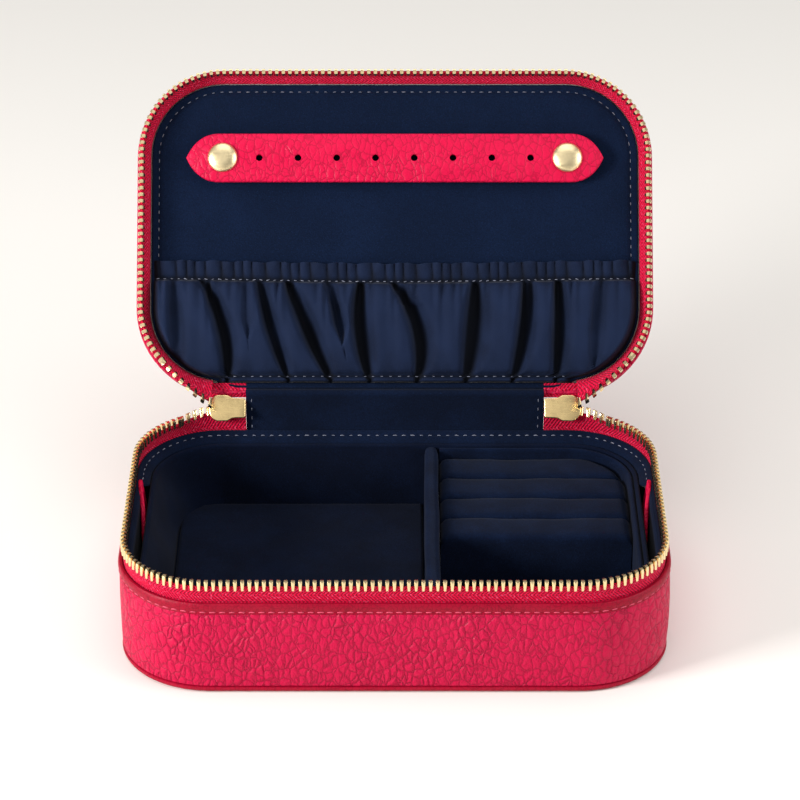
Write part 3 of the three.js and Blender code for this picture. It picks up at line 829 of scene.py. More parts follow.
class Repeater:
    """Sets one small item again and again along a line, with a Geometry Nodes tree."""

    INPUTS = (
        ("Item", "NodeSocketObject"),
        ("Pitch", "NodeSocketFloat"),
        ("Up", "NodeSocketVector"),
        ("Turn Jitter", "NodeSocketFloat"),
        ("Size Jitter", "NodeSocketFloat"),
        ("Seed", "NodeSocketInt"),
        ("Finish", "NodeSocketMaterial"),
    )

    def __init__(self) -> None:
        """Builds the tree."""
        self.tree = bpy.data.node_groups.new("items along a line", "GeometryNodeTree")
        face = self.tree.interface
        face.new_socket("Line", in_out="INPUT", socket_type="NodeSocketGeometry")
        self.sockets = {
            n: face.new_socket(n, in_out="INPUT", socket_type=k).identifier for n, k in self.INPUTS
        }
        face.new_socket("Items", in_out="OUTPUT", socket_type="NodeSocketGeometry")
        given = self._node("NodeGroupInput")
        curve = self._node("GeometryNodeMeshToCurve")
        self._link(given.outputs["Line"], curve.inputs[0])
        spaced = self._node("GeometryNodeResampleCurve", mode="LENGTH")
        self._link(curve.outputs[0], spaced.inputs["Curve"])
        self._link(given.outputs["Pitch"], spaced.inputs["Length"])
        tangent = self._node("GeometryNodeInputTangent")
        aim = self._node("FunctionNodeAxesToRotation", primary_axis="X", secondary_axis="Z")
        self._link(tangent.outputs[0], aim.inputs[0])
        self._link(given.outputs["Up"], aim.inputs[1])
        wobble = self._random(given, "Turn Jitter", 0.0, 1)
        tip = self._node("ShaderNodeCombineXYZ")
        self._link(wobble, tip.inputs[2])
        lean = self._node("FunctionNodeEulerToRotation")
        self._link(tip.outputs[0], lean.inputs[0])
        turned = self._node("FunctionNodeRotateRotation", rotation_space="LOCAL")
        self._link(aim.outputs[0], turned.inputs[0])
        self._link(lean.outputs[0], turned.inputs[1])
        size = self._random(given, "Size Jitter", 1.0, 2)
        item = self._node("GeometryNodeObjectInfo")
        self._link(given.outputs["Item"], item.inputs[0])
        placed = self._node("GeometryNodeInstanceOnPoints")
        self._link(spaced.outputs[0], placed.inputs["Points"])
        self._link(item.outputs["Geometry"], placed.inputs["Instance"])
        self._link(turned.outputs[0], placed.inputs["Rotation"])
        self._link(size, placed.inputs["Scale"])
        real = self._node("GeometryNodeRealizeInstances")
        self._link(placed.outputs[0], real.inputs[0])
        dressed = self._node("GeometryNodeSetMaterial")
        self._link(real.outputs[0], dressed.inputs[0])
        self._link(given.outputs["Finish"], dressed.inputs["Material"])
        done = self._node("NodeGroupOutput")
        self._link(dressed.outputs[0], done.inputs[0])

    def _node(self, kind: str, **settings: object) -> bpy.types.Node:
        """Adds a node with its settings."""
        made = self.tree.nodes.new(kind)
        for key, value in settings.items():
            setattr(made, key, value)
        return made

    def _link(self, source: bpy.types.NodeSocket, target: bpy.types.NodeSocket) -> None:
        """Joins two sockets."""
        self.tree.links.new(source, target)

    def _random(self, given: bpy.types.Node, name: str, centre: float, extra: int) -> bpy.types.NodeSocket:
        """A seeded random value that strays from a centre by the named input."""
        roll = self._node("FunctionNodeRandomValue", data_type="FLOAT")
        roll.inputs[2].default_value, roll.inputs[3].default_value = -1.0, 1.0
        seed = self._node("ShaderNodeMath", operation="ADD")
        seed.inputs[1].default_value = extra
        self._link(given.outputs["Seed"], seed.inputs[0])
        self._link(seed.outputs[0], roll.inputs["Seed"])
        scaled = self._node("ShaderNodeMath", operation="MULTIPLY_ADD")
        self._link(roll.outputs[1], scaled.inputs[0])
        self._link(given.outputs[name], scaled.inputs[1])
        scaled.inputs[2].default_value = centre
        return scaled.outputs[0]

    def along(
        self, name: str, line: np.ndarray, item: bpy.types.Object, pitch: float,
        up: tuple[float, float, float], finish: bpy.types.Material, closed: bool = False, turn: float = 0.0,
        size: float = 0.0, seed: int = 3,
    ) -> bpy.types.Object:
        """Sets an item along a line.

        Args:
            name: The piece's name.
            line: Points of the line in millimetres.
            item: The small item, drawn at the origin with x along the line.
            pitch: Distance between items in millimetres.
            up: The item's z direction.
            finish: Its material.
            closed: Whether the line closes on itself.
            turn: How far items turn at random, in radians.
            size: How much their size strays, as a share.
            seed: The random seed.

        Returns:
            One plain mesh object.
        """
        count = len(line)
        edges = [(i, i + 1) for i in range(count - 1)] + ([(count - 1, 0)] if closed else [])
        mesh = bpy.data.meshes.new(name)
        mesh.from_pydata((line * MM).tolist(), edges, [])
        made = bpy.data.objects.new(name, mesh)
        bpy.context.scene.collection.objects.link(made)
        modifier = made.modifiers.new("repeat", "NODES")
        modifier.node_group = self.tree
        values = {
            "Item": item, "Pitch": pitch * MM, "Up": up, "Turn Jitter": turn,
            "Size Jitter": size, "Seed": seed, "Finish": finish,
        }
        for key, value in values.items():
            modifier[self.sockets[key]] = value
        Shape.settle(made)
        return made


@dataclass
class SmallItems:
    """The small meshes that repeat: teeth and stitches."""

    tooth_width: float = 1.15
    tooth_half: float = 1.1
    hidden: list[bpy.types.Object] = field(default_factory=list)

    def _item(self, name: str, points: np.ndarray, faces: list) -> bpy.types.Object:
        """Makes an item that doesn't show by itself."""
        made = Shape.make(name, points, faces, bpy.data.materials["satin brass"], sharp=50)
        bpy.context.scene.collection.objects.unlink(made)
        self.hidden.append(made)
        return made

    def tooth(self) -> bpy.types.Object:
        """A zip tooth: two legs that clamp the tape and a rounded, hollowed head.

        Returns:
            The item, with z away from the tape and its legs' feet below zero.
        """
        half, wide = self.tooth_half, self.tooth_width / 2
        outline = [
            (-half, -1.1), (-half, 1.0), (-half * 0.72, 1.95), (0, 2.3), (half * 0.72, 1.95), (half, 1.0),
            (half, -1.1), (0.4, -1.1), (0.4, -0.2), (-0.4, -0.2), (-0.4, -1.1),
        ]
        sections = [(-wide, 0.84), (-wide * 0.62, 1.0), (wide * 0.62, 1.0), (wide, 0.84)]
        points = []
        for x, shrink in sections:
            for y, z in outline:
                bulge = 0.98 if z > 0.5 else 0.76
                dimple = 0.22 if z > 2.2 and abs(x) < wide * 0.9 else 0.0
                points.append(
                    (x * bulge, y * (shrink if abs(y) > 0.5 else 1), z * (0.96 if shrink < 1 else 1) - dimple)
                )
        return self._item("zip tooth", np.array(points), tube(len(outline), len(sections)))

    def stitch(self, length: float, thickness: float, arch: float = 0.12) -> bpy.types.Object:
        """A stitch: a short arched capsule of thread.

        Args:
            length: Its length.
            thickness: Its thickness.
            arch: How far its middle stands above its ends.

        Returns:
            The item, with x along the seam.
        """
        sides, points = 6, []
        sections = [(-0.5, 0.25), (-0.42, 0.8), (0.0, 1.0), (0.42, 0.8), (0.5, 0.25)]
        for at, swell in sections:
            for i in range(sides):
                angle = math.tau * i / sides
                radius = thickness / 2 * swell
                lift = arch * (1 - (2 * at) ** 2)
                points.append((at * length, radius * math.cos(angle), radius * math.sin(angle) + lift))
        return self._item(f"stitch {length:.1f}", np.array(points), tube(sides, len(sections)))

    def clear(self) -> None:
        """Removes the items once everything is set."""
        for item in self.hidden:
            bpy.data.objects.remove(item)
        self.hidden.clear()


class Case:
    """Shared tools of the sub-assemblies."""

    finishes: Finishes
    repeater: Repeater
    items: SmallItems

    @staticmethod
    def ride(made: bpy.types.Object, body: str, slot: str, *replaced: str) -> bpy.types.Object:
        """Joins a piece to its body and hides the CAD nodes it stands for.

        Args:
            made: The piece.
            body: The CAD body.
            slot: Not used.
            replaced: CAD nodes it stands for.

        Returns:
            The piece.
        """
        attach(made, body)
        return Case.label(made, slot, *replaced)

    @staticmethod
    def label(made: bpy.types.Object, slot: str, *replaced: str) -> bpy.types.Object:
        """Hides the CAD nodes a piece stands for and logs the piece."""
        if replaced:
            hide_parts(*replaced)
        log.info("built %s (%d faces)", made.name, len(made.data.polygons))
        return made

    @staticmethod
    def ring_line(inset: float, height: float, span: Optional[tuple[float, float]] = None) -> np.ndarray:
        """A line round the plan at an inset and height."""
        places, outs, _ = PLAN.stations(*(span or (0, None)), step=1.2)
        return np.column_stack([places - outs * inset, np.full(len(places), height)])


# ---------------------------------------------------------------------------------------------
# The base
# ---------------------------------------------------------------------------------------------


@dataclass
class BaseShell(Case):
    """The leather wall, the bottom panel, the lining with its collar and the side flaps."""

    hem: float = 32.2
    leather: float = 1.2
    stitch_drop: float = 3.0
    strip: float = 4.0
    seam: float = 2.1
    collar_out: float = 2.15
    collar_in: float = 6.25
    collar_end: float = 19.0

    def build(self) -> None:
        """Builds and dresses every piece of the shell."""
        self.bottom()
        self.wall()
        self.hem_strip()
        self.collar()
        self.tabs()

    def bottom(self) -> None:
        """The bottom panel with its turned edge."""
        rings = [(1.6, 0.0), (0.7, 0.1), (0.1, 0.4), (-0.15, 0.95), (-0.05, 1.5), (0.4, 1.85), (1.4, 1.9)]
        made = Shape.dish("bottom_panel", self.finishes.leather_edge, rings, 31, fill_steps=6)
        self.ride(made, "root", "leather", "base_bottom_leather")

    def wall(self) -> None:
        """The pebbled wall, very slightly bowed, with a tight seam at its foot."""
        top = self.hem - self.strip

        def profile(place: np.ndarray, out: np.ndarray, run: float) -> Profile:
            """The wall's section at a station."""
            sway = 0.12 * math.sin(run * 0.05) + 0.08 * math.sin(run * 0.117 + 1)
            heights = np.linspace(self.seam + 0.5, top, 9)
            bow = [
                (-(0.35 + sway) * math.sin(math.pi * (z - self.seam) / (top - self.seam)), z)
                for z in heights
            ]
            return [
                (self.leather, self.seam), (0.45, self.seam + 0.02), (0.1, self.seam + 0.2),
            ] + bow + [(0.15, top + 0.3), (self.leather, top + 0.3)]

        made = Shape.band("base_wall", self.finishes.leather, profile)
        self.ride(made, "root", "leather", "base_wall_leather")

    def hem_strip(self) -> None:
        """The turned hem over the wall's top, sewn through below its edge."""
        top, low = self.hem, self.hem - self.strip

        def profile(place: np.ndarray, out: np.ndarray, run: float) -> Profile:
            """The hem's section at a station."""
            sewn = top - self.stitch_drop
            return [
                (1.2, low + 0.35), (0.1, low + 0.1), (-0.12, low + 0.35), (-0.22, sewn - 0.5), (-0.02, sewn),
                (-0.26, sewn + 0.5), (-0.34, top - 1.4), (-0.24, top - 0.5), (0.1, top - 0.08), (0.6, top),
                (1.05, top - 0.15), (1.2, top - 0.6),
            ]

        made = Shape.band("base_hem", self.finishes.shaded_hem_leather, profile)
        self.ride(made, "root", "leather")
        line = self.ring_line(-0.08, self.hem - self.stitch_drop)
        stitch = self.items.stitch(1.9, 0.5)
        seam = self.repeater.along(
            "base_hem_stitches", line, stitch, 3.0, (0, 0, 1), self.finishes.pink_thread, True, 0.05, 0.08,
        )
        self.ride(seam, "root", "leather")

    def collar(self) -> None:
        """The suede lining: a collar sloping down to the tray round the back, plain in front."""

        def profile(place: np.ndarray, out: np.ndarray, run: float) -> Profile:
            """The lining's section, which narrows from collar to plain wall at the sides."""
            share = float(ease(np.array((place[1] - self.collar_end) / 1.6)))
            edge = 3.95 + (self.collar_in - 3.95) * share
            slope = 31.6 - 1.3 * share
            rise = (0.18 * math.sin(run * 0.11) + 0.12 * math.sin(run * 0.29)) * share
            middle = (self.collar_out + edge) / 2
            return [
                (self.collar_out, 28.0), (self.collar_out, 32.5), (2.4, 32.9), (2.9, 32.8),
                (middle - 0.2, (32.7 + slope) / 2 + 0.3), (middle, (32.7 + slope) / 2 + 0.1 + rise * 0.3),
                (middle + 0.25, (32.7 + slope) / 2 + 0.1 + rise), (edge - 0.3, slope + 0.2),
                (edge, slope - 0.2),
                (edge, slope - 0.9), (3.98, 29.2), (4.0, 4.2), (3.45, 4.2), (3.4, 27.8),
            ]

        made = Shape.band("base_lining", self.finishes.suede, profile, step=1.6)
        self.ride(made, "root", "suede", "base_wall_lining")
        side = sum(PLAN.lengths[:2]) + PLAN.depth / 2 - PLAN.radius - self.collar_end
        line = np.vstack([
            self.ring_line(4.05, 31.75, (PLAN.whole - side, PLAN.whole)),
            self.ring_line(4.05, 31.75, (0, side))[1:],
        ])
        stitch = self.items.stitch(1.2, 0.26)
        seam = self.repeater.along(
            "collar_stitches", line, stitch, 2.9, (0, 0, 1), self.finishes.white_thread, False, 0.1, 0.2,
        )
        self.ride(seam, "root", "suede")

    def tabs(self) -> None:
        """The pointed leather flaps that fold in beside the tray where the collar ends."""
        outline = [
            (self.collar_end + 0.6, 18.0), (self.collar_end + 0.6, 32.9), (self.collar_end - 1.5, 33.1),
            (13.5, 32.4), (10.0, 31.2),
            (6.5, 29.2), (3.6, 26.6), (1.6, 23.4), (1.2, 20.5), (2.6, 18.2),
        ]
        for side, label in ((-1, "left"), (1, "right")):

            def place(points: np.ndarray, side: int = side) -> np.ndarray:
                """Stands the flap beside the tray, leaning out to the zip at its back."""
                back = ease((points[:, 0] - 4) / 14) * ease((points[:, 1] - 22) / 9)
                return np.column_stack(
                    [side * (80.0 + points[:, 2] + 1.9 * back), points[:, 0], points[:, 1]]
                )

            made = Shape.bar(
                f"side_tab_{label}_leather", self.finishes.strap_leather, outline, (0.0, 1.3), place, 0.4,
            )
            self.ride(made, "root", "leather", f"side_tab_{label}")


@dataclass
class HingePanel(Case):
    """The plain panel at the back that the lid folds on."""

    half_width: float = 49.5
    fold: float = 2.2

    def skin(
        self, name: str, material: bpy.types.Material, line: np.ndarray, thickness: float, half: float,
    ) -> bpy.types.Object:
        """Sweeps a bent line of y and z across the panel's width and gives it thickness.

        Args:
            name: The piece's name.
            material: Its finish.
            line: Points of y and z, from the base up to the lid.
            thickness: Its thickness, to the right of the line's run.
            half: Half its width.

        Returns:
            The object.
        """
        run = np.gradient(line, axis=0)
        run /= np.linalg.norm(run, axis=1)[:, None]
        other = line + np.column_stack([run[:, 1], -run[:, 0]]) * thickness
        loop = np.vstack([line, other[::-1]])
        length = np.concatenate([[0], np.cumsum(np.linalg.norm(np.diff(loop, axis=0), axis=1))])
        across = np.linspace(-half, half, 41)
        points = np.vstack([np.column_stack([np.full(len(loop), x), loop]) for x in across])
        uv = np.vstack([np.column_stack([np.full(len(loop), x), length]) for x in across])
        return Shape.make(name, points, tube(len(loop), len(across)), material, uv)

    def bent(
        self, straight: Sequence[tuple[float, float]], radius: float, first: float, last: float,
        after: Sequence[tuple[float, float]],
    ) -> np.ndarray:
        """A line up the panel, round the hinge and into the lid.

        Args:
            straight: Points of y and z up the panel.
            radius: Distance from the hinge line while it turns.
            first: Angle where the turn starts, in degrees.
            last: Angle where the turn ends.
            after: Points of y and z past the turn.

        Returns:
            The line.
        """
        turn = [
            (HINGE.y + radius * math.cos(math.radians(a)), HINGE.z + radius * math.sin(math.radians(a)))
            for a in np.linspace(first, last, 12)
        ]
        return np.array(list(straight) + turn + list(after))

    def build(self) -> None:
        """Builds the panel's leather, its suede face and its stitching."""
        steps = [(53.05, z) for z in np.linspace(31.2, 44.6, 12)]
        inner = self.bent(steps, 1.55, 178, 40, [(56.35, 46.75), (56.9, 47.3)])
        lining = self.skin("hinge_panel_suede", self.finishes.suede, inner, 0.55, self.half_width)
        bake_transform(lining)
        self.label(lining, "suede", "hinge_panel_lining")
        steps = [(53.75, z) for z in np.linspace(30.9, 44.2, 10)]
        outer = self.bent(steps, 0.75, 182, 30, [(56.4, 44.9), (57.6, 44.0)])
        leather = self.skin("hinge_panel_outer", self.finishes.leather_edge, outer, 0.95, self.half_width)
        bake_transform(leather)
        self.label(leather, "leather", "hinge_panel_leather")
        stitch = self.items.stitch(1.1, 0.2)
        for side in (-1, 1):
            x = side * (self.half_width - 1.9)
            line = np.array([(x, 52.42, z) for z in np.linspace(34.2, 44.0, 8)])
            name = f"panel_side_stitches_{'left' if side < 0 else 'right'}"
            seam = self.repeater.along(name, line, stitch, 2.8, (0, -1, 0), self.finishes.white_thread)
            self.ride(seam, "root", "suede")


class ZipEnd(Enum):
    """The two ends of the zip, by the side they lie on."""

    LEFT = -1
    RIGHT = 1


@dataclass
class Zip(Case):
    """Both halves of the zip: woven tapes and rows of metal teeth."""

    pitch: float = 2.2
    tape_at: float = 1.4
    tape: float = 0.6
    middle: float = 38.8
    slider_out: float = 61.0
    base_bend: float = 72.0
    lid_bend: float = 79.0
    end_share: float = 0.55

    def span(self, x: float) -> tuple[float, float]:
        """The plan's distances from the right end at x, round the front, to the left end."""
        start = PLAN.run_at_back(x)
        return (start, PLAN.whole - start)

    def build(self) -> None:
        """Builds both tapes and both rows of teeth."""
        self.base_half()
        self.lid_half()

    def tape_profile(self, low: float, high: float) -> Profile:
        """The tape's section, with its corded edge between the teeth's legs."""
        a, b, up = self.tape_at, self.tape_at + self.tape, 1 if high > low else -1
        return [
            (a, low), (a, low + (high - low) * 0.25), (a, low + (high - low) * 0.5), (a, high - up * 1.0),
            (a - 0.2, high - up * 0.7), (a - 0.2, high - up * 0.1), (a + 0.1, high + up * 0.15),
            (b - 0.1, high + up * 0.15),
            (b + 0.2, high - up * 0.1), (b + 0.2, high - up * 0.7), (b, high - up * 1.0),
            (b, low + (high - low) * 0.5),
            (b, low + (high - low) * 0.25), (b, low),
        ]

    def lid_profile(self, low: float) -> Profile:
        """The upper tape's section: straight outside, sloping inside from the teeth down to the lining."""
        z = HINGE.z
        return [
            (1.4, z + 2.5), (1.4, z + 1.2), (1.4, z - 1.5), (1.4, low + 1.0), (1.2, low + 0.7),
            (1.2, low + 0.1), (1.5, low - 0.15),
            (1.9, low - 0.15), (2.2, low + 0.1), (2.2, low + 0.7), (2.2, low + 1.2), (2.6, low + 2.2),
            (3.2, low + 3.2),
            (3.8, low + 4.2), (4.3, z + 0.1), (4.35, z + 1.0), (2.2, z + 2.5),
        ]

    def base_lean(self, points: np.ndarray) -> np.ndarray:
        """How much of the slider's lean a base point takes, by how near the slider it is."""
        return ease(
            (self.base_bend - np.abs(points[:, 0])) / (self.base_bend - self.slider_out)
        ) * (points[:, 1] > 0)

    def base_half(self) -> None:
        """The lower tape and teeth."""
        top = self.middle - 1.55
        start, stop = self.span(49.55)

        def settle(points: np.ndarray) -> np.ndarray:
            """Lifts the tape's edge to the leaning slider."""
            share = self.base_lean(points) * ease((points[:, 2] - 32.2) / (top - 32.2))
            return ROCKER.leaned(points, share)

        made = Shape.band(
            "base_tape", self.finishes.tape, lambda p, o, r: self.tape_profile(29.5, top), (start, stop),
            settle,
        )
        self.ride(made, "root", "zip_tape", "base_zipper_tape")
        tooth = self.items.tooth()
        inset, height = self.tape_at + self.tape / 2, self.middle - 1.3
        bend = PLAN.run_at_back(self.base_bend)
        begin = PLAN.run_at_back(self.slider_out)
        begin = bend - self.pitch * math.floor((bend - begin) / self.pitch)
        count = math.floor((PLAN.whole - 2 * bend) / self.pitch)
        slack = (PLAN.whole - 2 * bend - count * self.pitch) / 2
        line = self.ring_line(inset, height, (bend + slack, PLAN.whole - bend - slack))
        teeth = self.repeater.along(
            "base_teeth", line, tooth, self.pitch * 0.994, (0, 0, 1), self.finishes.teeth, False, 0.03, 0.02,
        )
        self.ride(teeth, "root", "brass", "base_zipper_chain")
        for end in ZipEnd:
            span = (begin + slack, bend + slack) if end is ZipEnd.RIGHT else (
                PLAN.whole - bend - slack, PLAN.whole - begin - slack,
            )
            line = self.ring_line(inset, height, span)
            line = line[:-1] if end is ZipEnd.RIGHT else line[1:]
            name = f"base_teeth_{end.name.lower()}_end"
            part = self.repeater.along(
                name, line, tooth, self.pitch, (0, 0, 1), self.finishes.teeth, False, 0.05, 0.03,
            )
            self.reshape(part, lambda points: ROCKER.leaned(points, self.base_lean(points)))
            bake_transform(part)
            self.label(part, "brass")

    @staticmethod
    def reshape(made: bpy.types.Object, move: Callable[[np.ndarray], np.ndarray]) -> None:
        """Moves a mesh's points in millimetres."""
        points = np.zeros(len(made.data.vertices) * 3)
        made.data.vertices.foreach_get("co", points)
        points = move(points.reshape(-1, 3) / MM) * MM
        made.data.vertices.foreach_set("co", points.ravel())
        made.data.update()

    def lid_share(self, points: np.ndarray) -> np.ndarray:
        """How much of the lid's turn a lid point takes, less near the sliders."""
        x0 = self.lid_zero
        t = (np.abs(points[:, 0]) - x0) / (self.lid_bend - x0)
        return np.where(points[:, 1] > 0, ease(t), 1.0)

    @property
    def lid_zero(self) -> float:
        """Where the lid's share would come to nothing, so that it is end_share at the slider."""
        t = 0.5 - math.sin(math.asin(1 - 2 * self.end_share) / 3)
        return (self.slider_out - t * self.lid_bend) / (1 - t)

    def lid_half(self) -> None:
        """The upper tape and teeth, which part from the lid's line towards the sliders."""
        low = self.middle + 1.55
        bend = PLAN.run_at_back(self.lid_bend)
        tooth = self.items.tooth()
        inset, height = self.tape_at + self.tape / 2, self.middle + 1.3
        made = Shape.band(
            "lid_tape", self.finishes.tape, lambda p, o, r: self.lid_profile(low), (bend, PLAN.whole - bend),
            HINGE.opened,
        )
        self.ride(made, "lid", "zip_tape", "lid_zipper_tape")
        count = math.floor((PLAN.whole - 2 * bend) / self.pitch)
        slack = (PLAN.whole - 2 * bend - count * self.pitch) / 2
        shift = self.pitch / 2
        line = HINGE.opened(
            self.ring_line(inset, height, (bend + slack + shift, PLAN.whole - bend - slack + shift))
        )
        out = HINGE.opened(np.array([[0, HINGE.y, HINGE.z - 1.0]]))[0] - np.array([0, HINGE.y, HINGE.z])
        teeth = self.repeater.along(
            "lid_teeth", line, tooth, self.pitch * 0.994, tuple(out), self.finishes.teeth, False, 0.03, 0.02,
        )
        self.ride(teeth, "lid", "brass", "lid_zipper_chain")
        for end in ZipEnd:
            side, label = end.value * MM, end.name.lower()
            near, far = PLAN.run_at_back(61.0), PLAN.run_at_back(self.lid_bend)
            span = (near, far) if end is ZipEnd.RIGHT else (PLAN.whole - far, PLAN.whole - near)

            def settle(points: np.ndarray) -> np.ndarray:
                """Keeps the tape's root in the lid and lets its edge follow the slider."""
                free = ease((HINGE.z - points[:, 2]) / (HINGE.z - low))
                share = self.lid_share(points)
                return HINGE.opened(points, 1 - (1 - np.maximum(share, self.end_share)) * free)

            tape = Shape.band(
                f"lid_tape_{label}_end", self.finishes.tape, lambda p, o, r: self.lid_profile(low), span,
                settle, step=1.2,
            )
            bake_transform(tape)
            self.label(tape, "zip_tape")
            self.lid_tail(end)
            near = PLAN.run_at_back(self.slider_out)
            reach = bend + slack + shift if end is ZipEnd.RIGHT else bend + slack - shift
            near = reach - self.pitch * math.floor((reach - near) / self.pitch)
            span = (near, reach) if end is ZipEnd.RIGHT else (PLAN.whole - reach, PLAN.whole - near)
            line = self.ring_line(inset, height, span)
            line = line[:-1] if end is ZipEnd.RIGHT else line[1:]
            part = self.repeater.along(
                f"lid_teeth_{label}_end", line, tooth, self.pitch, (0, 0, -1), self.finishes.teeth, False,
                0.05, 0.03,
            )
            self.reshape(part, lambda points: HINGE.opened(points, self.lid_share(points)))
            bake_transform(part)
            self.label(part, "brass")

    def lid_tail(self, end: ZipEnd) -> None:
        """The last of the upper tape, tucked behind a slider's top.

        Args:
            end: The end of the zip.
        """
        line = np.array([(54.75, 43.9), (54.9, 44.8), (55.2, 45.6), (55.6, 46.4), (56.2, 47.5), (56.6, 48.3)])
        run = np.gradient(line, axis=0)
        run /= np.linalg.norm(run, axis=1)[:, None]
        other = line + np.column_stack([run[:, 1], -run[:, 0]]) * self.tape
        loop, across = np.vstack([line, other[::-1]]), np.linspace(49.5, 62.3, 14)
        count = len(loop)
        points = np.vstack([np.column_stack([np.full(count, end.value * x), loop]) for x in across])
        uv = np.vstack([np.column_stack([np.full(count, x), np.arange(count) * 0.9]) for x in across])
        faces = tube(count, len(across))
        made = Shape.make(f"lid_tape_{end.name.lower()}_tail", points, faces, self.finishes.tape, uv)
        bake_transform(made)
        self.label(made, "zip_tape")


# ---------------------------------------------------------------------------------------------
# The tray
# ---------------------------------------------------------------------------------------------


@dataclass
class Tray(Case):
    """The suede tray: its wall, floor pads, divider, padded liner and ring rolls."""

    top: float = 30.0
    wall_out: float = 6.4
    wall_in: float = 8.0
    floor: float = 6.6
    pad: float = 2.2
    slope: float = 6.5
    divider: tuple[float, float] = (9.7, 14.3)
    liner_in: float = 9.8
    roll_pitch: float = 12.7
    roll_back: float = 44.4
    roll_top: float = 26.8
    roll_bottom: float = 13.8

    def build(self) -> None:
        """Builds every piece of the tray."""
        self.wall()
        self.pads()
        self.divider_wall()
        self.liner()
        for number in range(4):
            self.roll(number)

    def wall(self) -> None:
        """The tray's wall, with a soft top edge and a sloping left end."""

        def profile(place: np.ndarray, out: np.ndarray, run: float) -> Profile:
            """The wall's section, whose inner face leans in at the left end."""
            lean = max(0.0, -out[0]) ** 1.5 * self.slope
            heights = np.linspace(29.0, self.floor + 0.4, 8)
            face = []
            for z in heights:
                share = (29.7 - z) / (29.7 - self.floor)
                slack = 0.3 * math.sin(run * 0.16 + z * 0.2) * math.sin(math.pi * share) * (1 + lean * 0.35)
                face.append((self.wall_in + 0.05 + lean * share + slack, z))
            return [
                (self.wall_out, 4.8), (self.wall_out, 29.3), (6.55, 29.9), (6.95, 30.25), (7.5, 30.2),
                (7.95, 29.8),
            ] + face + [(self.wall_in + lean, 4.8)]

        made = Shape.band("tray_wall_suede", self.finishes.tray_suede, profile)
        self.ride(made, "root", "suede", "tray_wall")

    def outline(self, inset: float, left: float, right: float, front: float, back: float) -> np.ndarray:
        """The plan at an inset, cut off at four sides, anticlockwise."""
        places, outs, _ = PLAN.stations(step=1.6)
        line = (places - outs * inset)[::-1]
        line[:, 0] = np.clip(line[:, 0], left, right)
        line[:, 1] = np.clip(line[:, 1], front, back)
        keep = [0]
        for i in range(1, len(line)):
            if np.linalg.norm(line[i] - line[keep[-1]]) > 0.4:
                keep.append(i)
        if np.linalg.norm(line[keep[-1]] - line[0]) < 0.4:
            keep.pop()
        return line[keep]

    def pads(self) -> None:
        """The padded floors of both compartments."""
        base, top = self.floor, self.floor + self.pad - 0.35
        left = self.outline(8.6, -71.0, 9.3, -60, 60)
        made = Shape.cushion("left_floor_cushion", self.finishes.tray_suede, left, base, top, 0.35, 1.1, 0.12)
        self.ride(made, "root", "suede", "left_floor_pad")
        right = self.outline(10.2, 14.8, 75.6, -60, -6.9)
        made = Shape.cushion(
            "right_floor_cushion", self.finishes.tray_suede, right, base, top, 0.3, 1.0, 0.08,
        )
        self.ride(made, "root", "suede", "right_floor_pad")

    def divider_wall(self) -> None:
        """The padded divider with a rolled top edge."""
        x0, x1 = self.divider
        rounding = (x1 - x0) / 2 - 0.35
        middle = (x0 + x1) / 2
        outline = [(x0, self.floor), (x1, self.floor), (x1, self.top - rounding - 0.2)]
        outline += [
            (middle + 0.35 + rounding * math.cos(a), self.top - rounding - 0.1 + rounding * math.sin(a))
            for a in np.linspace(0.15, math.pi / 2, 7)
        ]
        outline += [
            (middle - 0.35 - rounding * math.sin(a), self.top - rounding - 0.1 + rounding * math.cos(a))
            for a in np.linspace(0, math.pi / 2 - 0.15, 7)
        ]
        outline += [(x0, self.top - rounding - 0.2)]
        flat, count = np.array(outline), len(outline)
        ys = np.linspace(-46.2, 46.2, 41)
        points = []
        for y in ys:
            squeeze = 1 - 0.12 * math.exp(-((46.2 - abs(y)) / 1.6) ** 2)
            sway = 0.12 * math.sin(y * 0.17 + 1)
            points += [
                (
                    (x - middle) * squeeze + middle + sway, y,
                    z - 0.25 * (1 - math.cos(y * 0.06)) * (z > 20) * 0.3,
                )
                for x, z in flat
            ]
        made = Shape.make(
            "divider_suede", np.array(points), tube(count, len(ys)), self.finishes.roll_suede, sharp=60,
        )
        self.ride(made, "root", "suede", "tray_divider")

    def liner(self) -> None:
        """The padded liner round the right compartment."""

        def profile(place: np.ndarray, out: np.ndarray, run: float) -> Profile:
            """The liner's section with a rolled top."""
            soft = 0.1 * math.sin(run * 0.21)
            return [
                (8.3, self.floor), (8.3, 28.9), (8.45, 29.45), (8.9, 29.8), (9.4, 29.7), (9.75, 29.2),
                (self.liner_in + soft, 28.4), (self.liner_in + 0.15 + soft, 20.0),
                (self.liner_in, self.floor),
            ]

        start = 14.8
        made = Shape.band(
            "right_liner", self.finishes.roll_suede, profile,
            (start, PLAN.lengths[0] * 2 + sum(PLAN.lengths[1:4]) - start),
        )
        self.ride(made, "root", "suede", "right_side_liner")

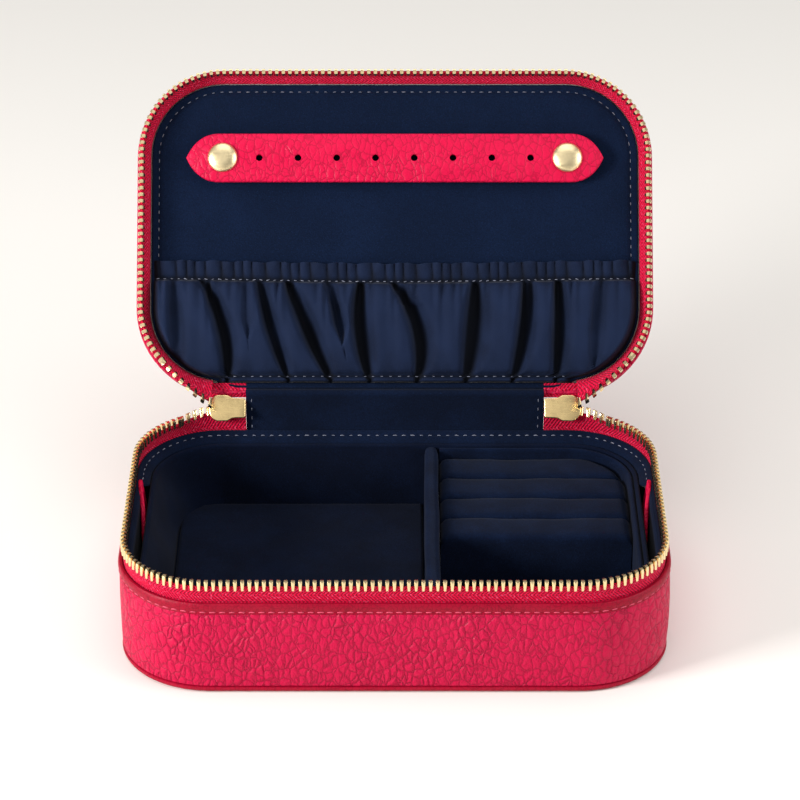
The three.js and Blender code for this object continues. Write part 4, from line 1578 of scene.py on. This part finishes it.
    def roll(self, number: int) -> None:
        """One ring roll: foam in suede, pinched at its ends and crowned on top.

        Args:
            number: 0 at the back to 3 at the front.
        """
        back = self.roll_back - number * self.roll_pitch + 0.1
        front = back - self.roll_pitch + 0.12
        half, middle = (back - front) / 2, (back + front) / 2
        loop = []
        for angle in np.linspace(0, math.pi, 15):
            c, s = math.cos(angle), math.sin(angle)
            wide = math.copysign(abs(c) ** 0.42, c)
            loop.append((middle + half * wide, self.roll_top - 3.6 + 3.8 * abs(s) ** 0.5))
        if number == 3:
            loop += [
                (front, 17.0), (-6.8, 12.0), (-6.8, 7.0), (-6.5, 6.9), (-6.5, 12.5), (-6.2, self.roll_bottom),
            ]
        else:
            loop += [(front + 0.1, 17.0), (front + 0.3, self.roll_bottom)]
        loop += [(back - 0.3, self.roll_bottom), (back - 0.1, 17.0)]
        count, shares = len(loop), np.linspace(0, 1, 47)
        points, uv = [], []
        for share in shares:
            ends = 1 - 0.16 * math.exp(-(min(share, 1 - share) / 0.018) ** 2)
            sway = 0.22 * math.sin(share * 9 + number * 2.1) + 0.12 * math.sin(share * 23 + number)
            for i, (y, z) in enumerate(loop):
                corner = math.sqrt(max(0.0, 18.8**2 - max(0.0, y - 25.5) ** 2))
                right = min(75.7, 57 + corner) if y > 25.5 else 75.7
                on_top = max(0.0, (z - 20) / 7)
                points.append((
                    14.7 + (right - 14.7) * share,
                    middle + (y - middle) * (ends * 0.03 + 0.97) + sway * on_top * 0.5,
                    self.roll_bottom + (z - self.roll_bottom) * ends + sway * on_top * 0.5,
                ))
                uv.append((share * 61, i))
        faces = tube(count, len(shares))
        made = Shape.make(
            f"ring_roll_suede_{number + 1}", np.array(points), faces, self.finishes.roll_suede, np.array(uv),
            70,
        )
        self.ride(made, "root", "suede", f"ring_roll_{number + 1}")


# ---------------------------------------------------------------------------------------------
# The lid
# ---------------------------------------------------------------------------------------------


@dataclass
class Lid(Case):
    """The lid's leather, suede lining, gathered pocket and their stitching."""

    height: float = 10.0
    pocket_top: float = 44.0
    pocket_bottom: float = 3.6
    elastic: float = 38.0
    pocket_inset: float = 5.0
    fold_height: float = 5.0
    valleys: tuple[tuple[float, float, float, float, float, float], ...] = (
        (-73.8, -73.2, -72.4, 1.8, 0.55, 1.0),
        (-64.5, -57.6, -56.0, 2.3, 1.0, 1.0),
        (-49.5, -49.0, -47.5, 1.6, 0.3, 0.5),
        (-45.4, -41.5, -35.3, 1.9, 0.9, 1.0),
        (-36.0, -29.5, -21.3, 2.5, 1.0, 1.0),
        (-22.4, -18.5, -14.5, 1.7, 0.75, 0.55),
        (-11.6, -12.2, -8.4, 2.5, 1.0, 1.0),
        (-1.2, 7.2, 6.9, 2.6, 1.0, 1.0),
        (26.4, 25.2, 23.2, 3.0, 1.0, 1.0),
        (43.6, 42.4, 38.6, 2.3, 0.95, 1.0),
        (53.8, 54.0, 53.0, 2.1, 0.95, 1.0),
        (67.8, 66.4, 65.8, 1.8, 0.5, 0.8),
    )

    def build(self) -> None:
        """Builds every piece of the lid."""
        self.leather()
        self.lining()
        self.pocket()

    def shut(self, x: np.ndarray, from_hinge: np.ndarray, out: np.ndarray) -> np.ndarray:
        """Lid points, given from the hinge line and above the hem towards the inside, with the lid open."""
        return HINGE.opened(np.column_stack([x, HINGE.y - from_hinge, HINGE.z - out]))

    def leather(self) -> None:
        """The outer panel and the wall with its turned hem and stitching."""
        z = HINGE.z
        rings = [
            (1.4, z + 8.05), (0.4, z + 8.1), (-0.05, z + 8.4), (-0.15, z + 8.9), (0.1, z + 9.5),
            (0.7, z + 9.9), (1.8, z + 10.05),
        ]
        made = Shape.dish(
            "lid_panel", self.finishes.leather, rings, 31, lambda x,
            y: 0.25 * np.cos(x / 70) * np.cos(y / 50), HINGE.opened,
        )
        self.ride(made, "lid", "leather", "lid_top_leather")

        def profile(place: np.ndarray, out: np.ndarray, run: float) -> Profile:
            """The lid wall's section at a station."""
            sway = 0.06 * math.sin(run * 0.07)
            return [
                (1.2, z + 0.5), (1.0, z + 0.1), (0.55, z - 0.02), (0.1, z + 0.15), (-0.15, z + 0.6),
                (-0.24, z + 1.4),
                (-0.2, z + 2.5), (-0.02, z + 3.0), (-0.2, z + 3.5), (-0.28 - sway, z + 5.0), (-0.15, z + 7.2),
                (0.15, z + 7.85),
                (0.5, z + 7.95), (1.2, z + 7.95),
            ]

        made = Shape.band("lid_rim", self.finishes.leather, profile, None, HINGE.opened)
        self.ride(made, "lid", "leather", "lid_wall_leather")
        line = HINGE.opened(self.ring_line(-0.06, z + 3.0))
        up = HINGE.opened(np.array([[0.0, HINGE.y, HINGE.z + 1]]))[0] - np.array([0, HINGE.y, HINGE.z])
        stitch = self.items.stitch(1.9, 0.5)
        seam = self.repeater.along(
            "lid_hem_stitches", line, stitch, 3.0, tuple(up), self.finishes.pink_thread, True, 0.05, 0.08,
        )
        self.ride(seam, "lid", "leather")

    @staticmethod
    def flared(points: np.ndarray) -> np.ndarray:
        """Opens the lid's lining, letting its edge run out to the hinge panel between the sliders."""
        moved = points.copy()
        moved[:, 1] += 2.8 * ease((points[:, 1] - 40) / 9) * ease((62 - np.abs(points[:, 0])) / 10)
        return HINGE.opened(moved)

    def lining(self) -> None:
        """The suede lining, softly padded inside a sewn edge."""
        z = HINGE.z
        rings = [
            (5.6, z + 2.0), (4.9, z + 1.9), (4.62, z + 1.2), (4.66, z + 0.55), (4.9, z + 0.2),
            (5.4, z + 0.12), (6.2, z + 0.35),
            (7.1, z + 0.72), (7.8, z + 0.42), (8.8, z + 0.3), (10.0, z + 0.42), (12.0, z + 0.6),
            (15.0, z + 0.75),
        ]

        def soft(x: np.ndarray, y: np.ndarray) -> np.ndarray:
            """The padding's slight unevenness."""
            return 0.12 * np.sin(x * 0.09 + 0.5) * np.cos(y * 0.11 + 0.3) + 0.06 * np.sin(x * 0.23 + y * 0.17)

        made = Shape.dish("lid_lining_suede", self.finishes.lid_suede, rings, 31, soft, self.flared, 16)
        self.ride(made, "lid", "suede", "lid_lining")
        start = PLAN.run_at_back(57.0)
        line = self.flared(self.ring_line(7.1, z + 0.6, (start, PLAN.whole - start)))
        inward = HINGE.opened(np.array([[0.0, HINGE.y, HINGE.z - 1]]))[0] - np.array([0, HINGE.y, HINGE.z])
        stitch = self.items.stitch(1.1, 0.22)
        seam = self.repeater.along(
            "lid_lining_stitches", line, stitch, 2.9, tuple(inward), self.finishes.white_thread, False, 0.08,
            0.15,
        )
        self.ride(seam, "lid", "suede")

    def reach(self, s: np.ndarray) -> np.ndarray:
        """Half the pocket's width at a distance from the hinge."""
        r = PLAN.radius - self.pocket_inset
        depth = np.clip(PLAN.radius - s, 0, r)
        return PLAN.width / 2 - PLAN.radius + np.sqrt(np.maximum(r * r - depth * depth, 4.0))

    def fold(self, x: np.ndarray, s: np.ndarray) -> np.ndarray:
        """How far the gathered cloth stands off the lining.

        Args:
            x: Places across the pocket.
            s: Distances from the hinge.

        Returns:
            The heights in millimetres.
        """
        down = np.clip((self.elastic - s) / (self.elastic - self.pocket_bottom), 0, 1)
        hollow = np.zeros_like(x)
        tilt = np.zeros_like(x)
        for top, middle, foot, width, depth, length in self.valleys:
            line = top * (1 - down) * (
                1 - 2 * down
            ) + middle * 4 * down * (1 - down) + foot * down * (2 * down - 1)
            wide = width * (
                0.45 + 0.95 * np.sin(math.pi * np.clip(down * 0.85 + 0.1, 0, 1))
            ) * np.clip((length - down) / 0.2 + 0.5, 0.05, 1)
            away = (x - line) / wide
            away = np.where(away < 0, away * 1.75, away * 0.8)
            strength = depth * np.clip((length - down) / 0.25 + 1, 0, 1)
            hollow = np.maximum(hollow, strength * np.exp(-np.abs(away) ** 2.6))
            tilt += strength * np.exp(-((x - line + 4.5) / 4.0) ** 2) * 0.22
        swell = np.sin(math.pi * np.clip(down, 0, 1) ** 0.75) ** 0.6
        body = self.fold_height * (0.42 + 0.58 * swell) * (1 - hollow) * (1 + tilt * swell)
        phase = x * 1.62 + 1.1 * np.sin(x * 0.31) + 0.7 * np.sin(x * 0.83 + 1)
        gather = np.exp(-down / 0.2) * (
            1.5 * (np.abs(np.sin(phase / 2)) ** 1.5) - 0.8
        ) * (1 + 0.5 * np.sin(x * 0.47))
        wrinkle = 0.16 * np.sin(x * 0.5 + down * 5) * np.sin(x * 0.21 - down * 3) * swell
        cloth = 0.55 + body + gather + wrinkle
        above = np.clip((s - self.elastic) / (self.pocket_top - self.elastic), 0, 1)
        pleat = np.abs(np.sin(x * 0.81 + 0.8 * np.sin(x * 0.37) + 0.25 * above)) ** 0.7
        ruffle = 1.35 + (1.25 * pleat - 0.45) * (0.35 + 0.9 * above) + 0.35 * above
        waist = np.exp(-((s - self.elastic) / 0.8) ** 2)
        made = np.where(s > self.elastic, ruffle, cloth)
        made = made * (1 - waist) + (1.0 + 0.35 * pleat) * waist
        hem = np.exp(-((s - self.pocket_bottom - 2.1) / 0.7) ** 2)
        return made * (1 - hem * 0.72) + 0.28 * hem

    def pocket(self) -> None:
        """The gathered pocket: a ruffle above its elastic, deep folds below, sewn along its edge."""
        wide = 420
        share = np.linspace(-1, 1, wide)
        s = np.concatenate([
            np.linspace(self.pocket_bottom, self.elastic - 1.2, 46)[:-1],
            np.linspace(self.elastic - 1.2, self.elastic + 1.2, 11)[:-1],
            np.linspace(self.elastic + 1.2, self.pocket_top, 17),
        ])
        tall = len(s)
        across = self.reach(s)[:, None] * share[None, :]
        height = self.fold(across, np.repeat(s[:, None], wide, 1))
        edge = np.clip((1 - np.abs(share)) * self.reach(s)[:, None] / 3.0, 0, 1)
        foot = np.clip((s - self.pocket_bottom + 0.35) / 1.4, 0, 1)[:, None]
        height = 0.12 + (height - 0.12) * ease(edge) * (0.35 + 0.65 * ease(foot))
        sag = np.repeat(s[:, None], wide, 1) - 0.5 * np.cos(across * 0.037) * (s[:, None] > 30)
        sag += 0.3 * np.sin(across * 0.6) * np.clip((s[:, None] - 40) / 5, 0, 1)
        points = self.shut(across.ravel(), sag.ravel(), (height - 0.55).ravel())
        uv = np.column_stack([(across * 1.5).ravel(), sag.ravel()])
        faces = [
            (r * wide + i, r * wide + i + 1, (r + 1) * wide + i + 1, (r + 1) * wide + i)
            for r in range(tall - 1) for i in range(wide - 1)
        ]
        made = Shape.make("pocket_cloth", points, faces, self.finishes.pocket, uv, 180)
        # The lift attribute, the cloth's height over the lining, is what the pocket cloth uses to paint shade
        # into its hollows and a highlight on its fold tops.
        lift = made.data.attributes.new("lift", "FLOAT", "POINT")
        loft = np.where(s[:, None] > self.elastic, (height - 0.75) / 2.0, height / self.fold_height)
        lift.data.foreach_set("value", loft.ravel())
        inward = Vector((0, math.cos(math.radians(145.5)), math.sin(math.radians(145.5))))
        if sum(p.normal.dot(inward) for p in made.data.polygons) < 0:
            made.data.flip_normals()
        Shape.modify(made, "SOLIDIFY", thickness=0.4 * MM, offset=-1.0)
        self.ride(made, "lid", "pocket_satin", "lid_pocket", "lid_pocket_elastic")
        stitch, small = self.items.stitch(0.95, 0.24), self.items.stitch(0.9, 0.22)
        x = np.linspace(-79.0, 79.0, 320)
        rise = self.fold(x, np.full_like(x, self.elastic)) - 0.45
        drop = 0.5 * np.cos(x * 0.037)
        line = self.shut(x, self.elastic - drop, rise)
        up = tuple(self.shut(np.zeros(1), np.zeros(1), np.ones(1))[0] - np.array([0, HINGE.y, HINGE.z]))
        seam = self.repeater.along(
            "pocket_elastic_stitches", line, stitch, 2.3, up, self.finishes.white_thread, False, 0.35, 0.25,
            5,
        )
        self.ride(seam, "lid", "pocket_satin")
        x = np.linspace(-56.0, 56.0, 200)
        rise = self.fold(x, np.full_like(x, self.pocket_bottom + 2.1)) - 0.3
        line = self.shut(x, np.full_like(x, self.pocket_bottom + 2.1), rise)
        seam = self.repeater.along(
            "pocket_foot_stitches", line, small, 2.9, up, self.finishes.white_thread, False, 0.1, 0.2, 8,
        )
        self.ride(seam, "lid", "pocket_satin")


@dataclass
class EarringStrap(Case):
    """The snap-on leather strap with its earring holes and brass caps."""

    length: float = 139.5
    width: float = 16.4
    from_hinge: float = 79.0
    low: float = 1.3
    high: float = 2.95
    tip: float = 11.0
    holes: int = 8
    hole_pitch: float = 12.95
    hole_radius: float = 1.15
    cap_at: float = 57.6
    cap_radius: float = 5.0

    def outline(self, inset: float) -> np.ndarray:
        """Half-turn symmetric outline of the strap at an inset, anticlockwise."""
        end, half = self.length / 2 - inset * 1.15, self.width / 2 - inset
        shoulder, control = self.length / 2 - self.tip, self.length / 2 - self.tip / 3
        t = np.linspace(0, 1, 13)[:, None]
        start, bend, tip = np.array([[shoulder, -half]]), np.array(
            [[control - inset, -half]]
        ), np.array([[end, 0.0]])
        curve = (1 - t) ** 2 * start + 2 * t * (1 - t) * bend + t * t * tip
        upper = curve[::-1][1:] * np.array([1, -1])
        right = np.vstack([curve, upper])
        return np.vstack([right, -right])

    def build(self) -> None:
        """Builds the strap and its caps."""
        self.strap()
        for side, label in ((-1, "left"), (1, "right")):
            self.cap(side, label)

    def strap(self) -> None:
        """The strap itself, with rounded edges and punched holes."""
        rows = [
            (0.5, self.low), (0.12, self.low + 0.15), (0.0, self.low + 0.5), (0.02, self.high - 0.5),
            (0.2, self.high - 0.15), (0.6, self.high),
        ]
        points, count = [], len(self.outline(0))
        for inset, up in rows:
            flat = self.outline(inset)
            points.append(np.column_stack([flat, np.full(count, up)]))
        faces = tube(count, len(rows))
        made = Shape.make("strap_leather", np.vstack(points), faces, self.finishes.strap_leather, sharp=40)
        for i in range(self.holes):
            x = (i - (self.holes - 1) / 2) * self.hole_pitch
            punch = Shape.make("punch", *self.rod(x, self.hole_radius), self.finishes.leather_edge)
            modifier = made.modifiers.new("punch", "BOOLEAN")
            modifier.operation, modifier.object, modifier.solver = "DIFFERENCE", punch, "EXACT"
            Shape.settle(made)
            bpy.data.objects.remove(punch)
        made.data.polygons.foreach_set("use_smooth", [True] * len(made.data.polygons))
        made.data.set_sharp_from_angle(angle=math.radians(50))
        self.reshape_to_lid(made)
        self.ride(made, "earring_strap", "leather", "earring_strap")

    def rod(self, x: float, radius: float) -> tuple[np.ndarray, list]:
        """A short rod for punching a hole."""
        sides = 20
        angles = np.linspace(0, math.tau, sides + 1)[:-1]
        ring = np.column_stack([x + radius * np.cos(angles), radius * np.sin(angles)])
        points = np.vstack(
            [np.column_stack([ring, np.full(sides, up)]) for up in (self.low - 1, self.high + 1)]
        )
        return points, tube(sides, 2)

    def reshape_to_lid(self, made: bpy.types.Object) -> None:
        """Moves a piece drawn flat at the strap's middle into the open lid."""
        co = np.zeros(len(made.data.vertices) * 3)
        made.data.vertices.foreach_get("co", co)
        flat = co.reshape(-1, 3) / MM
        flat = HINGE.opened(
            np.column_stack([flat[:, 0], HINGE.y - self.from_hinge + flat[:, 1], HINGE.z - flat[:, 2]])
        )
        made.data.vertices.foreach_set("co", (flat * MM).ravel())
        made.data.update()
        work = bmesh.new()
        work.from_mesh(made.data)
        bmesh.ops.recalc_face_normals(work, faces=work.faces)
        work.to_mesh(made.data)
        work.free()

    def cap(self, side: int, label: str) -> None:
        """A domed brass snap cap with its post and socket behind the strap."""
        r, face = self.cap_radius, self.high + 0.25
        profile = [
            (0, face + 1.7), (1.2, face + 1.66), (2.4, face + 1.5), (3.5, face + 1.2), (4.3, face + 0.8),
            (4.8, face + 0.4),
            (r, face + 0.05), (r - 0.08, face - 0.2), (r - 0.5, face - 0.25), (1.5, face - 0.2),
            (1.5, self.low - 0.3),
            (3.3, self.low - 0.3), (3.4, self.low - 0.45), (3.4, self.low - 1.2), (3.2, self.low - 1.3),
            (1.3, self.low - 1.3), (1.2, self.low - 0.4), (0, self.low - 0.4),
        ]
        steps = 48
        points = []
        for radius, up in profile:
            for angle in np.linspace(0, math.tau, steps + 1)[:-1]:
                points.append((side * self.cap_at + radius * math.cos(angle), radius * math.sin(angle), up))
        faces = rungs(steps, len(profile))
        made = Shape.make(
            f"snap_cap_{label}_brass", np.array(points), faces, self.finishes.cap_brass, sharp=50,
        )
        self.reshape_to_lid(made)
        self.ride(made, "earring_strap", "brass", f"snap_cap_{label}")


# ---------------------------------------------------------------------------------------------
# Zip hardware, hidden plies and the studio
# ---------------------------------------------------------------------------------------------


@dataclass
class ZipHardware(Case):
    """The two sliders and their pulls."""

    length: float = 12.2
    width: float = 9.0
    tail: float = 6.6
    plate: float = 1.1
    mouth: float = 2.8
    x: float = 55.7
    chain_y: float = 52.8
    middle: float = 38.8

    def outline(self) -> Profile:
        """The slider's plate seen from the front: a round head at +x and a narrow tail."""
        half, head, tail = self.length / 2, self.width / 2, self.tail / 2
        points = [
            (-half + 0.4, -tail), (-half + 3.2, -tail), (-half + 4.4, -tail - 0.15),
            (-half + 5.2, -tail - 0.6), (-half + 6.0, -head + 0.15),
        ]
        for angle in np.linspace(-75, 75, 13):
            c, s = math.cos(math.radians(angle)), math.sin(math.radians(angle))
            points.append((half - 4.4 + 4.4 * c**0.8, head * math.copysign(abs(s) ** 0.8, s)))
        points += [(x, -y) for x, y in points[4::-1]]
        points += [(-half, tail - 0.5), (-half, -tail + 0.5)]
        return points

    def build(self) -> None:
        """Builds both sliders and pulls."""
        for side, label in ((-1, "left"), (1, "right")):
            self.slider(side, label)
            self.pull(side, label)

    def placed(self, side: int) -> Callable[[np.ndarray], np.ndarray]:
        """Turns points drawn with x along the zip, y up and z out of the case into the leaning slider."""

        def place(points: np.ndarray) -> np.ndarray:
            """Stands the points on the zip's line and leans them."""
            moved = np.column_stack(
                [side * (self.x + points[:, 0]), self.chain_y + points[:, 2], self.middle + points[:, 1]]
            )
            return ROCKER.leaned(moved)

        return place

    def slider(self, side: int, label: str) -> None:
        """A slider: two plates, the post between them and the bridge outside."""
        place, outer = self.placed(side), self.mouth / 2
        parts = [
            Shape.bar(
                "inner", self.finishes.brass, self.outline(), (-outer - self.plate, -outer), place, 0.42,
            ),
            Shape.bar("outer", self.finishes.brass, self.outline(), (outer, outer + self.plate), place, 0.42),
        ]
        half = self.length / 2
        post = [(half - 4.6, -1.1), (half - 1.8, -0.9), (half - 1.6, 0), (half - 1.8, 0.9), (half - 4.6, 1.1)]
        parts.append(Shape.bar("post", self.finishes.brass, post, (-outer - 0.2, outer + 0.2), place, 0.0))
        bar = 4.65
        arch = [
            (-3.2, 2.4), (-2.3, 2.4), (-2.3, bar - 0.45), (2.3, bar - 0.45), (2.3, 2.4), (3.2, 2.4),
            (3.2, bar - 0.15), (2.6, bar + 0.45), (-2.6, bar + 0.45), (-3.2, bar - 0.15),
        ]

        def stand(points: np.ndarray) -> np.ndarray:
            """Stands the arch on the outer plate."""
            return place(np.column_stack([points[:, 0], points[:, 2], points[:, 1]]))

        parts.append(Shape.bar("bridge", self.finishes.brass, arch, (-0.45, 0.45), stand, 0.18))
        made = self.join(f"slider_{label}_brass", parts)
        self.ride(made, f"slider_{label}", "brass", f"slider_{label}")

    @staticmethod
    def join(name: str, parts: list[bpy.types.Object]) -> bpy.types.Object:
        """Joins objects into one named mesh."""
        work = bmesh.new()
        for part in parts:
            work.from_mesh(part.data)
        mesh = bpy.data.meshes.new(name)
        work.to_mesh(mesh)
        work.free()
        mesh.materials.append(parts[0].data.materials[0])
        for part in parts:
            bpy.data.objects.remove(part)
        mesh.polygons.foreach_set("use_smooth", [True] * len(mesh.polygons))
        mesh.set_sharp_from_angle(angle=math.radians(38))
        made = bpy.data.objects.new(name, mesh)
        bpy.context.scene.collection.objects.link(made)
        return made

    def pull(self, side: int, label: str) -> None:
        """A pull: an eye round the bridge and a rounded paddle hanging outside the case."""
        pivot_y, pivot_z = 56.944, 37.87
        paddle = [(-0.75, -1.5), (-1.0, -3.0), (-1.9, -5.0), (-2.8, -6.6)]
        paddle += [(3.5 * math.cos(a), -16.5 + 3.5 * math.sin(a)) for a in np.linspace(math.pi, math.tau, 15)]
        paddle += [(2.8, -6.6), (1.9, -5.0), (1.0, -3.0), (0.75, -1.5)]

        def place(points: np.ndarray) -> np.ndarray:
            """Hangs the paddle from its eye."""
            return np.column_stack(
                [side * self.x + points[:, 0], pivot_y + points[:, 2], pivot_z + points[:, 1]]
            )

        blade = Shape.bar("blade", self.finishes.brass, paddle, (-0.7, 0.7), place, 0.35)
        angles = np.linspace(0, math.tau, 25)[:-1]
        points, faces = [], []
        section = [
            (1.12, -0.5), (1.3, -0.75), (1.7, -0.75), (1.9, -0.5), (1.9, 0.5), (1.7, 0.75), (1.3, 0.75),
            (1.12, 0.5),
        ]
        for angle in angles:
            points += [
                (side * self.x + x, pivot_y + r * math.cos(angle), pivot_z + r * math.sin(angle))
                for r, x in section
            ]
        for i in range(24):
            k = (i + 1) % 24
            faces += [(i * 8 + j, i * 8 + (j + 1) % 8, k * 8 + (j + 1) % 8, k * 8 + j) for j in range(8)]
        eye = Shape.make("eye", np.array(points), faces, self.finishes.brass)
        made = self.join(f"pull_{label}_brass", [blade, eye])
        self.ride(made, f"pull_{label}", "brass", f"pull_{label}")


@dataclass
class HiddenPlies(Case):
    """The boards, foam, inner linings and studs that stay as CAD solids out of sight."""

    boards: tuple[str, ...] = ("base_bottom_board", "base_wall_board", "lid_board", "lid_wall_board")
    foams: tuple[str, ...] = ("lid_padding", "ring_roll_bed")
    suedes: tuple[str, ...] = ("base_bottom_lining", "tray_floor_board")
    metals: tuple[str, ...] = ("snap_stud_left", "snap_stud_right")

    def build(self) -> None:
        """Dresses every hidden ply."""
        groups = (
            (self.boards, self.finishes.board), (self.foams, self.finishes.foam),
            (self.suedes, self.finishes.suede), (self.metals, self.finishes.brass),
        )
        for names, material in groups:
            for name in names:
                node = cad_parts[name]
                node.data.materials.clear()
                node.data.materials.append(material)
                log.info("dressed %s", name)


@dataclass
class Studio:
    """The pale floor, the soft lights and the camera."""

    camera_at: tuple[float, float, float] = (1.7, -861.6, 547.5)
    look_down: float = 28.84
    lens: float = 141.4
    shift: tuple[float, float] = (0.0, 0.0)

    def build(self) -> None:
        """Sets up the floor, the lights, the world and the camera."""
        self.floor()
        self.light("left", (-820, -420, 360), (0, 0, 40), 300, 11.8, (1.0, 0.99, 0.98))
        self.light("right", (800, -240, 420), (0, 0, 40), 520, 4.2, (0.99, 0.99, 1.0))
        self.light("front", (-200, -1100, 900), (0, 20, 60), 900, 1.4, (1.0, 0.995, 0.985))
        self.light("top", (0, 60, 1700), (0, 20, 40), 1600, 12.0, (1.0, 0.995, 0.985))
        world = bpy.data.worlds.new("soft room")
        world.use_nodes = True
        world.node_tree.nodes["Background"].inputs[0].default_value = (1.0, 0.995, 0.985, 1)
        world.node_tree.nodes["Background"].inputs[1].default_value = 0.33
        bpy.context.scene.world = world
        view = bpy.context.scene.view_settings
        view.view_transform, view.look, view.exposure, view.gamma = "Standard", "None", 0.0, 1.0
        self.camera()

    def floor(self) -> None:
        """The pale sheet the case stands on."""
        mesh = bpy.data.meshes.new("floor")
        mesh.from_pydata(
            [(-6, -6, -0.0002), (6, -6, -0.0002), (6, 6, -0.0002), (-6, 6, -0.0002)], [], [(0, 1, 2, 3)],
        )
        dye = Dye("studio paper", Space.OBJECT)
        mesh.materials.append(dye.finish(srgb(243, 240, 235), None, 0.95, Specular_IOR_Level=0.1))
        made = bpy.data.objects.new("floor", mesh)
        bpy.context.scene.collection.objects.link(made)

    def light(
        self, name: str, at: tuple[float, float, float], towards: tuple[float, float, float], size: float,
        power: float, colour: tuple[float, float, float],
    ) -> None:
        """Adds a square soft light.

        Args:
            name: Its name.
            at: Its place in millimetres.
            towards: The point it faces.
            size: Its side in millimetres.
            power: Its power in watts.
            colour: Its colour.
        """
        lamp = bpy.data.lights.new(name, "AREA")
        lamp.energy, lamp.size, lamp.color = power, size * MM, colour
        made = bpy.data.objects.new(name, lamp)
        made.location = Vector(at) * MM
        made.rotation_euler = (Vector(towards) - Vector(at)).to_track_quat("-Z", "Y").to_euler()
        bpy.context.scene.collection.objects.link(made)

    def camera(self) -> None:
        """The camera, in front of the case and above it."""
        data = bpy.data.cameras.new("camera")
        data.lens, data.sensor_width = self.lens, 36.0
        data.shift_x, data.shift_y = self.shift
        data.clip_start, data.clip_end = 0.05, 20
        made = bpy.data.objects.new("camera", data)
        made.location = Vector(self.camera_at) * MM
        made.rotation_euler = (math.radians(90 - self.look_down), 0, 0)
        bpy.context.scene.collection.objects.link(made)
        bpy.context.scene.camera = made


def main() -> None:
    """Builds the case, one sub-assembly after another, and the studio round it."""
    logging.basicConfig(level=logging.INFO, format="%(message)s")
    Case.finishes, Case.repeater, Case.items = Finishes(), Repeater(), SmallItems()
    for part in (
        BaseShell(), HingePanel(), Zip(), Tray(), Lid(), EarringStrap(), ZipHardware(), HiddenPlies(),
    ):
        part.build()
    Case.items.clear()
    Studio().build()


if __name__ == "__main__":
    main()
